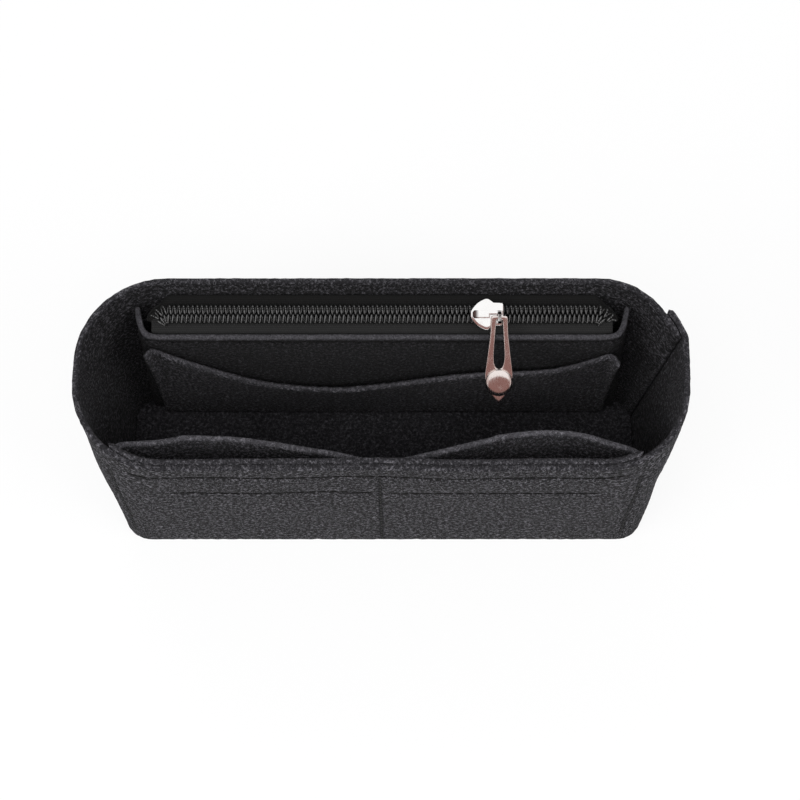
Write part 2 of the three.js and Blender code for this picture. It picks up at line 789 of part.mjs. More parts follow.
group.add(
  piece('outer_wall', outerWall(), felt),
  piece('base_panel', basePanel(), innerFelt),
  piece('front_facing', frontFacing(), felt),
  piece('front_pocket_panel', frontPocketPanel(), innerFelt),
  piece('zip_pocket_panel', zipPocketPanel(), innerFelt),
  piece('slip_pocket_panel', slipPocketPanel(), innerFelt),
  piece('zip_tape_front', frontTape(), tape),
  piece('zip_tape_back', backTape(), tape),
);

const zipFrame = new THREE.Group();
zipFrame.position.set(0, zipY, zipHeight);
zipFrame.rotation.x = degToRad(zipRoll);
zipFrame.add(piece('zip_coil_front', coilRow(-1), coil), piece('zip_coil_back', coilRow(1), coil));

const slider = new THREE.Group();
slider.position.x = sliderRestX;
slider.add(piece('slider_body', sliderBody(), metal), piece('slider_crown', sliderCrown(), metal));

const pull = new THREE.Group();
pull.position.set(pullPivotX, pullPivotV, pullPivotW);
pull.rotation.x = degToRad(pullDroop);
pull.add(piece('pull_tab', pullTab(), metal), piece('pull_stud', pullStud(), metal));
slider.add(pull);
zipFrame.add(slider);
group.add(zipFrame);

const stitching = {
  front_upper_stitch: frontUpperStitch(),
  front_lower_left_stitch: frontLowerStitch(-1, lowerRowLeftInset),
  front_lower_right_stitch: frontLowerStitch(1, lowerRowRightInset),
  front_centre_stitch: uprightSeam(centreSeamX, -1, panelFoot, frontPocketTop - rowGap),
  front_left_stitch: uprightSeam(frontSeamLeftInset - rimWidth / 2, -1),
  front_right_stitch: uprightSeam(rimWidth / 2 - frontSeamRightInset, -1),
  back_left_stitch: uprightSeam(-backSeamHalf, 1),
  back_right_stitch: uprightSeam(backSeamHalf, 1),
  lap_stitch: lapStitch(),
  back_zip_stitch: backZipStitch(),
  zip_panel_stitch: zipPanelStitch(),
  slip_left_stitch: slipEndStitch(-1),
  slip_right_stitch: slipEndStitch(1),
  base_seam_stitch: baseSeamStitch(),
};
for (const [name, geometry] of Object.entries(stitching)) group.add(piece(name, geometry, thread));

export default group;
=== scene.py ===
"""Looks of a felt purse organizer insert: felt sheets, stitches, a woven and coiled zip, and nickel.
Sizes in the tables below are millimetres; objects are made in metres, in the frame's own axes."""
import bpy
import math
import numpy as np
from itertools import product
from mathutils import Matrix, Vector


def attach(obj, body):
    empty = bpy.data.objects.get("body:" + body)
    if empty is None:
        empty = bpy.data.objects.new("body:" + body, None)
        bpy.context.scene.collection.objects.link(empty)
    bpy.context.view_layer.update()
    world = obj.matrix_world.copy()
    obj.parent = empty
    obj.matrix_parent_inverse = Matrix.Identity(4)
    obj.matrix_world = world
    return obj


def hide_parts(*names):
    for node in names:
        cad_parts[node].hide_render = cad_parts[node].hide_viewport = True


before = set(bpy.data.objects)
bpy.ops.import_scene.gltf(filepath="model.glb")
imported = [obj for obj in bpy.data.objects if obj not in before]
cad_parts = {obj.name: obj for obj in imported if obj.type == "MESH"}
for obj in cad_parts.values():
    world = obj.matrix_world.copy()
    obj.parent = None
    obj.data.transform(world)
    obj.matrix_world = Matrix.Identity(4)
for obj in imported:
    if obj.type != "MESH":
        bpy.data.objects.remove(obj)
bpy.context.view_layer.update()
scene = bpy.context.scene
MM = 0.001


def placed(name, data):
    thing = bpy.data.objects.new(name, data)
    scene.collection.objects.link(thing)
    return thing


def aimed(thing, location, target):
    """Stands a camera, lamp or card at a place and turns it towards another."""
    thing.location = location
    thing.rotation_euler = (Vector(target) - Vector(location)).to_track_quat("-Z", "Y").to_euler()


# Camera at the photograph's angle
camera = placed("camera", bpy.data.cameras.new("camera"))
camera.data.lens = 93.69
camera.data.sensor_width = 36
aimed(camera, Vector((5.2, -211.6, 634.6)) * MM, Vector((5.2, 0, 62.5)) * MM)
scene.camera = camera
scene.view_settings.view_transform = "Standard"

# Shape of the tub, as the frame has it. Rim and foot are width, depth and corner radius.
TUB_HEIGHT = 85
RIM = (175, 58.5, 26)
FOOT = (163.5, 48, 8)
WALL = 1.8
PANEL = 1.8
FACING = 1.5
BASE = 2.0
GAP = 0.3
# The wall's lap: how far its layers part, and where they end and begin to part, in degrees round the corner
LAP_STEP, LAP_OUTER, LAP_INNER, LAP_FADE = 1.05, 38, 17, 66
POCKET_TOP = 76
CENTRE_SEAM = -0.5
PANEL_FOOT = 2.3
# The zip's middle, its roll towards the front, and half its chain
ZIP_ROLL = math.radians(22)
ZIP_COS, ZIP_SIN = math.cos(ZIP_ROLL), math.sin(ZIP_ROLL)
ZIP_Y, ZIP_Z = 21.0915, 77
CHAIN_HALF = 64


def lerp(a, b, t):
    return a + (b - a) * t


def xyz(x, y, z):
    return np.stack(np.broadcast_arrays(x, y, z), -1)


def plan(z):
    """The corners' radius at a height, and where their centres are."""
    share = z / TUB_HEIGHT
    radius = lerp(FOOT[2], RIM[2], share)
    return radius, lerp(FOOT[0], RIM[0], share) / 2 - radius, lerp(FOOT[1], RIM[1], share) / 2 - radius


def wall_y(x, z, inset):
    """Depth of the back wall's face at x, so far inside the outer face."""
    radius, centre_x, centre_y = plan(z)
    past = np.maximum(0, np.abs(x) - centre_x)
    return centre_y + np.sqrt(np.maximum(0, (radius - inset) ** 2 - past ** 2))


def corner(right, back, start, end, step=3):
    """Stations round one corner: which corner, the turn in degrees, and a shift inwards."""
    count = max(1, round(abs(end - start) / step))
    return [(right, back, lerp(start, end, k / count), 0) for k in range(count + 1)]


def along_straights(stations, long=84, short=12):
    """Adds stations along the straights, each as a mix of the two at its ends."""
    out = [stations[0]]
    for a, b in zip(stations, stations[1:]):
        if (a[0], a[1]) != (b[0], b[1]):
            count = long if a[0] != b[0] else short
            out += [(a, b, k / count) for k in range(1, count)]
        out.append(b)
    return out


def place(station, z, inset):
    """The point of a station at a height."""
    if len(station) == 3:
        a, b = place(station[0], z, inset), place(station[1], z, inset)
        return [lerp(p, q, station[2]) for p, q in zip(a, b)]
    right, back, turn, shift = station
    radius, centre_x, centre_y = plan(z)
    reach = radius - inset - shift
    angle = math.radians(turn)
    return [right * centre_x + reach * math.cos(angle), back * centre_y + reach * math.sin(angle), z]


def ring(stations, z, inset):
    return np.array([place(s, z, inset) for s in stations])


# Stations of the lap's outer layer, of one round of the tub, and of the lap's inner layer, which sinks in first
lap_outer = [(1, 1, turn, -LAP_STEP * min(1, turn / LAP_INNER) ** 2)
             for _, _, turn, _ in corner(1, 1, LAP_OUTER, 0, 2)]
round_the_tub = (corner(1, -1, 0, -90) + corner(-1, -1, -90, -180) + corner(-1, 1, 180, 90)
                 + corner(1, 1, 90, LAP_FADE))
lap_inner = [(1, 1, turn, LAP_STEP * (LAP_FADE - turn) / (LAP_FADE - LAP_OUTER))
             for _, _, turn, _ in corner(1, 1, LAP_FADE, LAP_OUTER)[1:]]
lap_inner += [(1, 1, turn, LAP_STEP) for _, _, turn, _ in corner(1, 1, LAP_OUTER, LAP_INNER, 2)[1:]]


def crowded(low, high, step, marks=(), edge=0.7):
    """Places from low to high about a step apart, closer at both ends and round the marks."""
    reach, fine, least = 1.2, 0.4, 0.03
    inside = lambda p: low + edge < p < high - edge
    places = set(np.round(np.linspace(low, high, max(2, round((high - low) / step)) + 1), 3))
    for share in (0, 0.06, 0.22, 0.5, 1):
        places |= {round(low + share * edge, 3), round(high - share * edge, 3)}
    for mark in marks:
        places -= {p for p in places if abs(p - mark) < reach + 0.3 and inside(p)}
        places |= {round(p, 3) for p in np.arange(mark - reach, mark + reach + 0.01, fine) if inside(p)}
    kept = []
    for p in sorted(places):
        if not kept or p - kept[-1] > least:
            kept.append(p)
    return np.array(kept)


def waves(points, size, seed, count=14):
    """A smooth random field over points, about -1 to 1, with features of that size."""
    rng = np.random.default_rng(seed)
    directions = rng.normal(size=(count, 3))
    directions /= np.linalg.norm(directions, axis=1)[:, None]
    rates = 2 * math.pi / size * rng.uniform(0.6, 1.5, count)
    phases = rng.uniform(0, 2 * math.pi, count)
    return np.sin(points @ directions.T * rates + phases).sum(axis=-1) / math.sqrt(count / 2) / 1.6


def outward(points):
    """Plan direction out of the tub at each point."""
    _, centre_x, centre_y = plan(70)
    ends = np.array([centre_x, centre_y * 3])
    away = points[..., :2] - np.clip(points[..., :2], -ends, ends)
    length = np.linalg.norm(away, axis=-1, keepdims=True)
    away = np.where(length > 1e-6, away / np.maximum(length, 1e-6), 0)
    return np.concatenate([away, np.zeros_like(length)], -1)


FLEX_OUT, FLEX_UP = 0.4, 0.28


def flex(points):
    """The felt's gentle waviness, the same for sheets that lie together. It dies out towards the zip."""
    mask = np.clip((9 - points[..., 1]) / 14, 0, 1)
    lift = np.clip(points[..., 2] / 40, 0, 1)
    moved = points + outward(points) * (FLEX_OUT * waves(points, 42, 5) * mask * lift)[..., None]
    upper = np.clip((points[..., 2] - 40) / 40, 0, 1)
    moved[..., 2] += FLEX_UP * waves(points * (1, 1, 0.2), 38, 8) * mask * upper
    return moved


# Meshes

def mesh_object(name, points, faces, material, attributes=()):
    mesh = bpy.data.meshes.new(name)
    mesh.from_pydata((np.asarray(points) * MM).tolist(), [], faces)
    for key, values in attributes:
        layer = mesh.attributes.new(key, "FLOAT_VECTOR", "POINT")
        layer.data.foreach_set("vector", np.asarray(values, dtype=np.float32).ravel())
    mesh.polygons.foreach_set("use_smooth", [True] * len(mesh.polygons))
    mesh.materials.append(material)
    mesh.update()
    return placed(name, mesh)


def grid_faces(index, flip=False):
    a, b, c, d = index[:-1, :-1], index[:-1, 1:], index[1:, 1:], index[1:, :-1]
    return np.stack([a, d, c, b] if flip else [a, b, c, d], axis=-1).reshape(-1, 4).tolist()


def hoop_faces(rings, turns):
    """Faces of a closed body of rings of points, with a cap at both ends."""
    index = np.arange(rings * turns).reshape(rings, turns)
    wrapped = np.concatenate([index, index[:, :1]], axis=1)
    return grid_faces(wrapped) + [index[0].tolist()[::-1], index[-1].tolist()]


def lengths(points, axis):
    """How far each point lies along its line, from the start."""
    steps = np.linalg.norm(np.diff(points, axis=axis), axis=-1)
    start = np.zeros_like(np.take(steps, [0], axis=axis))
    return np.concatenate([start, np.cumsum(steps, axis=axis)], axis=axis)


def at_places(points, run, places):
    """The points of a line, whose lengths are run, at other lengths."""
    return np.stack([np.interp(places, run, points[:, k]) for k in range(points.shape[1])], -1)


def resampled(points, count):
    """A line's points at even steps of its length."""
    run = lengths(points, 0)
    return at_places(points, run, np.linspace(0, run[-1], count))


def edge_round(distance, edge):
    """Share of a sheet's thickness at a distance from its cut edge."""
    near = np.clip(1 - distance / edge, 0, 1)
    return (1 - near ** 2.3) ** (1 / 2.3)


def mid_surface(rows):
    """Of a grid of middle points: the normals, the lengths along and up it, and the distance to its sides."""
    normal = np.cross(np.gradient(rows, axis=1), np.gradient(rows, axis=0))
    normal /= np.linalg.norm(normal, axis=-1, keepdims=True)
    u, v = lengths(rows, 1), lengths(rows, 0)
    return normal, u, v, np.minimum(u, u[:, -1:] - u)


FAR = 9.0  # mm from a seam, at which it marks nothing
SEAM_DIP, SEAM_WIDTH = 0.32, 1.5


def felt_sheet(name, rows, thickness, material, front_seams=None, edge=0.7, seed=1, side=1, foot_edge=None,
               thin=1.0, hung=False):
    """A closed sheet of felt round a grid of middle points. Its cut edges are soft, its faces slightly
    uneven, and its front dips along the seams, which are given as distances (across, along) in mm.
    Of a hung sheet only the upper edge gets the painted highlight of a cut edge."""
    normal, u, v, beside = mid_surface(rows)
    normal *= side
    rim = np.minimum(beside, v[-1:] - v)
    half = thickness / 2 * thin * np.minimum(edge_round(rim, edge), edge_round(v, foot_edge or edge))
    seams = np.full(rows.shape[:2] + (2,), FAR) if front_seams is None else front_seams
    dip = SEAM_DIP * np.exp(-(np.abs(seams).min(axis=-1) / SEAM_WIDTH) ** 2)
    rough = 0.07 * waves(rows, 3.1, seed) + 0.05 * waves(rows, 1.3, seed + 1)
    front = rows + normal * (half - (dip - rough) * half / thickness * 2 * 0.9)[..., None]
    back = rows - normal * (half * (1 + 0.05 * waves(rows, 4, seed + 2)))[..., None]
    levels, columns = rows.shape[:2]
    first = np.arange(levels * columns).reshape(levels, columns)
    second = first + levels * columns
    border = np.ones((levels, columns), bool)
    border[1:-1, 1:-1] = False
    second[border] = first[border]
    flat_u, flat_v = u.mean(axis=0)[None, :].repeat(levels, 0), v.mean(axis=1)[:, None].repeat(columns, 1)
    lay = np.stack([flat_u, flat_v, half], -1)
    # Mask of the painted highlight on cut edges, carried as the seam attribute's third value
    cut = 1 - np.clip((v[-1:] - v if hung else np.minimum(rim, v)) / 0.9, 0, 1)
    seam = np.concatenate([seams, cut[..., None]], -1)
    unmarked = np.concatenate([np.full_like(seams, FAR), cut[..., None]], -1)
    keep = np.concatenate([np.ones(levels * columns, bool), ~border.ravel()])
    order = np.cumsum(keep) - 1
    faces = order[np.array(grid_faces(first, side < 0) + grid_faces(second, side > 0))].tolist()
    both = lambda a, b: np.concatenate([a.reshape(-1, 3), b.reshape(-1, 3)])[keep]
    piece = mesh_object(name, both(front, back), faces, material,
                        [("lay", both(lay, lay * (1, 1, -1)) * MM), ("seam", both(seam, unmarked))])
    width, length = float(u[:, -1].mean()), float(v[-1].mean())
    return piece, (width * MM, length * MM), width * length * MM * MM


def tube(points, radius, sides=6):
    """Points, faces and lay of a round thread or wire along a line of points."""
    tangent = np.gradient(points, axis=0)
    tangent /= np.linalg.norm(tangent, axis=1)[:, None]
    side = np.cross(tangent, (0.13, 0.2, 1.0) if abs(tangent[0][2]) < 0.8 else (1.0, 0.2, 0.1))
    side /= np.linalg.norm(side, axis=1)[:, None]
    up = np.cross(side, tangent)
    turns = np.arange(sides) / sides * 2 * math.pi
    loop = side[:, None] * np.cos(turns)[None, :, None] + up[:, None] * np.sin(turns)[None, :, None]
    body = points[:, None] + loop * radius[:, None, None]
    lay = np.stack([lengths(points, 0)[:, None].repeat(sides, 1),
                    (turns * radius.mean())[None, :].repeat(len(points), 0), np.zeros((len(points), sides))], -1)
    return body.reshape(-1, 3), hoop_faces(len(points), sides), lay.reshape(-1, 3)


# Materials

class Nodes:
    """Builds the node tree of a new material, or of a given owner, with short calls."""

    def __init__(self, name, owner=None):
        self.material = owner or bpy.data.materials.new(name)
        self.material.use_nodes = True
        self.tree = self.material.node_tree

    def add(self, kind, **settings):
        node = self.tree.nodes.new("ShaderNode" + kind)
        for key, value in settings.items():
            setattr(node, key, value)
        return node

    def put(self, value, socket):
        if isinstance(value, bpy.types.NodeSocket):
            self.tree.links.new(value, socket)
        else:
            socket.default_value = value

    def fed(self, kind, output, sockets, **settings):
        """A node's output, once its input sockets have been given links or constants."""
        node = self.add(kind, **settings)
        for key, value in sockets.items():
            self.put(value, node.inputs[key])
        return node.outputs[output]

    def surface(self, shader, output="Material Output"):
        self.put(shader, self.tree.nodes[output].inputs["Surface"])

    def math(self, operation, a, b=0.0, c=0.5, clamp=False):
        return self.fed("Math", 0, {0: a, 1: b, 2: c}, operation=operation, use_clamp=clamp)

    def times(self, a, b):
        return self.math("MULTIPLY", a, b)

    def attribute(self, name):
        return self.add("Attribute", attribute_name=name).outputs["Vector"]

    def object_place(self):
        return self.add("TexCoord").outputs["Object"]

    def split(self, vector):
        node = self.add("SeparateXYZ")
        self.put(vector, node.inputs[0])
        return node.outputs

    def mapping(self, vector, scale=(1, 1, 1), turn=(0, 0, 0), move=(0, 0, 0)):
        return self.fed("Mapping", 0, {"Scale": scale, "Rotation": turn, "Location": move, "Vector": vector})

    def noise(self, vector, scale=1.0, detail=2.0, rough=0.5):
        return self.fed("TexNoise", "Fac",
                        {"Vector": vector, "Scale": scale, "Detail": detail, "Roughness": rough})

    def bands(self, vector, direction, scale, distortion=0.0):
        return self.fed("TexWave", "Fac", {"Vector": vector, "Scale": scale, "Distortion": distortion},
                        wave_type="BANDS", bands_direction=direction)

    def ramp(self, value, low, high, out_low=0.0, out_high=1.0):
        return self.fed("MapRange", "Result", {"Value": value, "From Min": low, "From Max": high,
                        "To Min": out_low, "To Max": out_high}, interpolation_type="SMOOTHSTEP")

    def mix(self, factor, a, b):
        a, b = ((*c, 1) if isinstance(c, tuple) else c for c in (a, b))
        return self.fed("Mix", 2, {"Factor": factor, 6: a, 7: b}, data_type="RGBA")

    def background_rays(self):
        """1 for a ray from the camera, a mirror or glass, which all show the white background."""
        rays = self.add("LightPath").outputs
        mirrored = self.math("MAXIMUM", rays["Is Glossy Ray"], rays["Is Transmission Ray"])
        return self.math("MAXIMUM", rays["Is Camera Ray"], mirrored)

    def set(self, **values):
        for key, value in values.items():
            self.put(value, self.tree.nodes["Principled BSDF"].inputs[key.replace("_", " ")])

    def bump(self, height, strength, distance):
        self.set(Normal=self.fed("Bump", 0, {"Strength": strength, "Distance": distance, "Height": height}))


def tint(level):
    """The felt's charcoal at a level of grey: barely violet."""
    return (level, level * 0.965, level * 1.07)


def grey(level):
    return (level,) * 3


def felt_material(name, dark, ground, light, fleck, inside=1.0, tall=1.0, cut=(0.1, 0.5)):
    """Pressed wool felt: matted, curled short fibres, some of them pale, over a dark ground. The sheet's back, the
    inside of the tub, gets painted shade: its colour is mixed towards a dark grey, the more the lower inside is. The
    tufts are tall times as high as they are wide. Cut edges get a painted highlight, whose level of grey and strength
    cut gives."""
    n = Nodes(name)
    own = n.attribute("lay")
    lay = n.mapping(own, (1, 0.7, 1))
    across, along, cut_edge = n.split(n.attribute("seam"))
    strands = None
    for turn, move, long, thin, width in ((0.1, 0.0, 640, 1250, 0.05), (-0.55, 0.07, 760, 1250, 0.045),
                                          (0.75, 0.13, 820, 1350, 0.045), (1.5, 0.21, 950, 1200, 0.04)):
        spread = n.mapping(lay, (long, thin, 1000), (0, 0, turn), (move, move * 2, move))
        curl = n.math("ABSOLUTE", n.math("SUBTRACT", n.noise(spread, 1.0, 1.2), 0.5))
        patchy = n.noise(n.mapping(lay, (850, 1150, 900), (0, 0, turn), (move * 3, 1, 2)), 1.0, 1)
        strand = n.times(n.ramp(curl, width, width * 0.2), n.ramp(patchy, 0.48, 0.58))
        strands = strand if strands is None else n.math("MAXIMUM", strands, strand)
    fine = n.noise(lay, 2300, 3, 0.65)
    tuft = n.noise(n.mapping(own, (1, 1 / tall, 1)), 1050, 2.5)
    broad = n.noise(lay, 70, 2)
    fuzz = n.times(n.math("MULTIPLY_ADD", n.ramp(fine, 0.45, 0.7), 0.35, strands, clamp=True),
                   n.ramp(tuft, 0.38, 0.62, 0.08, 1.0))
    cloudy = n.math("MULTIPLY_ADD", n.ramp(fine, 0.35, 0.65), 0.45, n.times(n.ramp(tuft, 0.35, 0.65), 0.4))
    base = n.mix(n.math("MULTIPLY_ADD", n.ramp(broad, 0.3, 0.7), 0.15, cloudy), tint(dark), tint(ground))
    colour = n.mix(n.times(fuzz, fleck), base, tint(light))
    # Painted highlight: within 0.9 mm of a cut edge the felt is lightened, as if its fibres caught the light
    edge_highlight = n.mix(n.math("MAXIMUM", n.ramp(fine, 0.3, 0.7), fuzz), tint(cut[0] * 0.55), tint(cut[0] * 1.5))
    colour = n.mix(n.times(cut_edge, cut[1]), colour, edge_highlight)
    # Painted shade: along the seams' grooves the felt is darkened
    groove = n.ramp(n.math("MINIMUM", n.math("ABSOLUTE", across), n.math("ABSOLUTE", along)), 0.1, 0.8)
    colour = n.mix(groove, n.mix(0.6, colour, tint(dark * 0.5)), colour)
    # Painted shade: the sheet's back, inside the tub, is mixed towards a dark grey
    if inside != 1.0:
        back = n.mix(1 - inside, colour, tint(ground * 2.3))
        colour = n.mix(n.ramp(n.split(own)[2], -0.0006, 0.0006), back, colour)
    n.set(Base_Color=colour, Specular_IOR_Level=0.06, Sheen_Weight=0.03, Sheen_Roughness=0.5,
          Roughness=n.ramp(fine, 0.2, 0.8, 0.86, 1.0))
    matted = n.math("MULTIPLY_ADD", strands, 0.5, n.times(fine, 0.5))
    lumps = n.math("MULTIPLY_ADD", tuft, 0.8, matted)
    n.bump(n.math("MULTIPLY_ADD", groove, 1.2, lumps), 0.75, 0.0006)
    return n.material


def thread_material():
    """Twisted black thread."""
    n = Nodes("thread")
    lay = n.attribute("lay")
    ply = n.bands(n.mapping(lay, (1, 1.4, 1), (0, 0, 0.75)), "X", 520)
    fuzz = n.noise(lay, 3000, 2)
    n.set(Base_Color=n.mix(n.times(ply, fuzz), grey(0.004), grey(0.018)), Specular_IOR_Level=0.2,
          Roughness=n.ramp(fuzz, 0.3, 0.7, 0.6, 0.85), Sheen_Weight=0.02)
    n.bump(ply, 0.6, 0.0001)
    return n.material


def tape_material(name, low, high):
    """Fine warp-knit zip tape with upright wales."""
    n = Nodes(name)
    lay = n.attribute("lay")
    wale = n.bands(lay, "Y", 620, 0.4)
    rib = n.bands(n.mapping(lay, turn=(0, 0, 0.5)), "X", 520)
    weave = n.times(wale, n.math("MULTIPLY_ADD", rib, 0.6, 0.4))
    slub = n.noise(lay, 1800, 3)
    n.set(Base_Color=n.mix(n.times(weave, slub), grey(low), grey(high)), Specular_IOR_Level=0.2,
          Roughness=n.ramp(slub, 0.2, 0.8, 0.7, 0.9), Sheen_Weight=0.04, Sheen_Roughness=0.4)
    n.bump(weave, 0.45, 0.00012)
    return n.material


def coil_material():
    """Moulded nylon wire, glossy, with a painted highlight in patches where its crests face up out of the zip."""
    n = Nodes("zip_coil")
    spot = n.object_place()
    wear_and_glint = n.noise(spot, 900, 3)
    normal = n.add("NewGeometry").outputs["Normal"]
    # Painted highlight: where the wire faces up out of the zip its colour is lightened in patches
    facing = n.fed("VectorMath", "Value", {0: normal, 1: (0, -ZIP_SIN, ZIP_COS)}, operation="DOT_PRODUCT")
    crest_highlight = n.times(n.ramp(facing, 0.72, 0.97), n.ramp(wear_and_glint, 0.3, 0.6, 0.6, 1.0))
    nylon = n.mix(n.ramp(wear_and_glint, 0.35, 0.7), grey(0.008), grey(0.02))
    n.set(Base_Color=n.mix(crest_highlight, nylon, grey(0.115)), Specular_IOR_Level=0.4,
          Roughness=n.ramp(wear_and_glint, 0.3, 0.7, 0.25, 0.45), Coat_Weight=0.15, Coat_Roughness=0.2)
    n.bump(n.noise(spot, 4200, 2), 0.15, 0.00005)
    return n.material


def nickel_material(name, plate, low, high, painted_dark_spans=None):
    """Tumble-polished nickel plate: faint cloudiness, fine scuffs and soft unevenness. Where a plate gets painted
    shade along its foot and painted dark reflections at its ends, the last argument gives its (left end, right end,
    foot) in mm along X and up from the zip."""
    n = Nodes(name)
    spot = n.object_place()
    cloud = n.noise(spot, 350, 3)
    scuff = n.noise(n.mapping(spot, (5200, 500, 900), (0.2, 0.1, 0.7)), 1.0, 3)
    colour = n.mix(cloud, plate, tuple(c * 0.95 for c in plate))
    if painted_dark_spans:
        left_end, right_end, foot_end = painted_dark_spans
        # Painted shade along the plate's foot and painted dark reflections at its ends: there the colour is mixed
        # towards dark brown
        x, y, z = n.split(spot)
        height = n.math("SUBTRACT", n.times(z, ZIP_COS), n.times(y, ZIP_SIN))
        fade = lambda place, full, none: n.ramp(place, none * MM, full * MM)
        foot = fade(height, foot_end + 0.15, foot_end + 0.5)
        left = fade(x, left_end + 0.7, left_end + 2.0)
        right = fade(x, right_end - 1.1, right_end - 1.9)
        past_right = fade(x, right_end - 0.7, right_end - 0.2)
        patches = n.math("MAXIMUM", left, n.times(right, past_right))
        painted_dark_mask = n.math("MAXIMUM", foot, n.times(patches, n.ramp(cloud, 0.35, 0.55, 0.45, 1.0)))
        colour = n.mix(painted_dark_mask, colour, (0.07, 0.045, 0.04))
    n.set(Base_Color=colour, Metallic=1.0,
          Roughness=n.math("MULTIPLY_ADD", n.ramp(scuff, 0.45, 0.7), 0.12, n.ramp(cloud, 0.3, 0.7, low, high)))
    n.bump(n.math("MULTIPLY_ADD", scuff, 0.3, cloud), 0.12, 0.00012)
    return n.material


# The outer felt's back, the inside of the tub, gets painted shade through inside
outer_felt = felt_material("felt_outer", 0.002, 0.004, 0.195, 1.0, inside=0.62, tall=1.5, cut=(0.07, 0.35))
# Painted shade: a copy of the same felt, toned darker for the zip panel in the tub's shade
inner_felt_painted_shade = felt_material("felt_inner", 0.003, 0.009, 0.085, 0.85, tall=1.6, cut=(0.085, 0.65))
# Painted light: a lighter copy of the same felt, for the pocket panels, against the shade deep in the tub
deep_felt_painted_light = felt_material("felt_inner_deep", 0.007, 0.032, 0.23, 0.85, tall=1.6, cut=(0.11, 0.45))
# Painted light: a lighter copy of the same felt, for the base, against the shade at the tub's floor
base_felt_painted_light = felt_material("felt_base", 0.008, 0.03, 0.1, 0.7)
thread = thread_material()
tape = tape_material("zip_tape", 0.012, 0.05)
# Painted shade: a darker copy of the zip tape, for the back tape, which lies in shade
shaded_tape = tape_material("zip_tape_rear_painted_shade", 0.005, 0.02)
coil = coil_material()
NICKEL = (0.985, 0.975, 0.965)
nickel = nickel_material("nickel", NICKEL, 0.06, 0.14)
# Painted reflection: the pull's nickel is tinted pink, standing in for the pinkish-brown surroundings its legs mirror
pull_nickel_painted_pink = nickel_material("nickel_pull", (0.86, 0.78, 0.75), 0.12, 0.22)


# Felt pieces

def fit(piece, body, node):
    """Attaches a piece to the body it rides and hides the CAD node that it stands for."""
    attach(piece, body)
    if node:
        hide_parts(node)


def sheet_piece(made, node):
    piece, flat, area = made
    fit(piece, "tub", node)


# Rows and seams of stitching in the wall: heights, and places in X
UPPER_ROW, LOWER_ROW, ZIP_ROW = 76, 59, 73
UPPER_ENDS, LOWER_ENDS = ((-71.6, 69),), ((-60, -3), (2, 62.5))
FRONT_SEAMS = (-77.4, CENTRE_SEAM, 74.0)
BACK_SEAMS = (-72.0, 72.0)
SEAM_ENDS = (8, 70)
CENTRE_ENDS = (PANEL_FOOT, UPPER_ROW - 2.5)


def seam_distance(beside, along, ends, over=0):
    """Distance from a seam, growing past its ends; signed, so that it never jumps."""
    over = over + np.maximum(0, np.maximum(ends[0] - along, along - ends[1]))
    return np.where(beside < 0, -1, 1) * np.sqrt(beside ** 2 + over ** 2)


def nearest_signed(distances):
    """Of several signed distances in order along the sheet, the nearest, with its sign kept from jumping."""
    stack = np.stack([d * (-1) ** k for k, d in enumerate(distances)])
    pick = np.abs(stack).argmin(axis=0)
    return np.clip(np.take_along_axis(stack, pick[None], axis=0)[0], -6, 6)


def crossing(row, length, x, back):
    """How far along a row of points the front or back of the tub is at x."""
    places = np.where((row[:, 1] > 0) == back)[0]
    i = next(i for i in places[:-1] if (row[i, 0] - x) * (row[i + 1, 0] - x) <= 0 and row[i, 0] != row[i + 1, 0])
    share = (x - row[i, 0]) / (row[i + 1, 0] - row[i, 0])
    return lerp(length[i], length[i + 1], share)


def row_distance(rows, mark, runs, back):
    """Signed distance in height from a level row of stitching, in runs between two places in X."""
    x, y, z = rows[..., 0], rows[..., 1], rows[..., 2]
    off_side = np.where((y > 0) if back else (y < 0), 0, FAR)
    return nearest_signed([seam_distance(z - mark, x, ends, off_side) for ends in runs])


SKIVE_FROM, SKIVE_THIN = 26, 0.35


def skived(station):
    """Share of the wall's thickness at a station: it thins out at the lap's inner end."""
    if len(station) == 3 or station[3] < LAP_STEP - 1e-6:
        return 1.0
    return lerp(SKIVE_THIN, 1.0, min(1.0, (station[2] - LAP_INNER) / (SKIVE_FROM - LAP_INNER)))


stations = along_straights(lap_outer + round_the_tub + lap_inner)
wall_thin = np.array([skived(s) for s in stations])
stations = [s if t == 1 else (*s[:3], s[3] - WALL / 2 * (1 - t)) for s, t in zip(stations, wall_thin)]
heights = crowded(0, TUB_HEIGHT, 2.1, (LOWER_ROW, ZIP_ROW, UPPER_ROW))
middle = np.stack([ring(stations, z, WALL / 2) for z in heights])
u = lengths(middle, 1)
uprights = []
for x, back in [(x, False) for x in FRONT_SEAMS[::-1]] + [(x, True) for x in BACK_SEAMS]:
    at = np.array([crossing(row, length, x, back) for row, length in zip(middle, u)])[:, None]
    uprights.append(seam_distance(u - at, middle[..., 2], CENTRE_ENDS if x == CENTRE_SEAM else SEAM_ENDS))
lower = row_distance(middle, LOWER_ROW, LOWER_ENDS, False)
upper = row_distance(middle, UPPER_ROW, UPPER_ENDS, False)
behind = row_distance(middle, ZIP_ROW, ((-62, 62),), True)
level = nearest_signed([lower, behind])
level = np.where(np.abs(upper) < np.abs(level), upper, level)
wall_seams = np.stack([nearest_signed(uprights), level], -1)
sheet_piece(felt_sheet("felt_wall", flex(middle), WALL, outer_felt, wall_seams, edge=0.55, seed=11, side=-1,
                       foot_edge=0.2, thin=wall_thin[None, :]),
            "outer_wall")

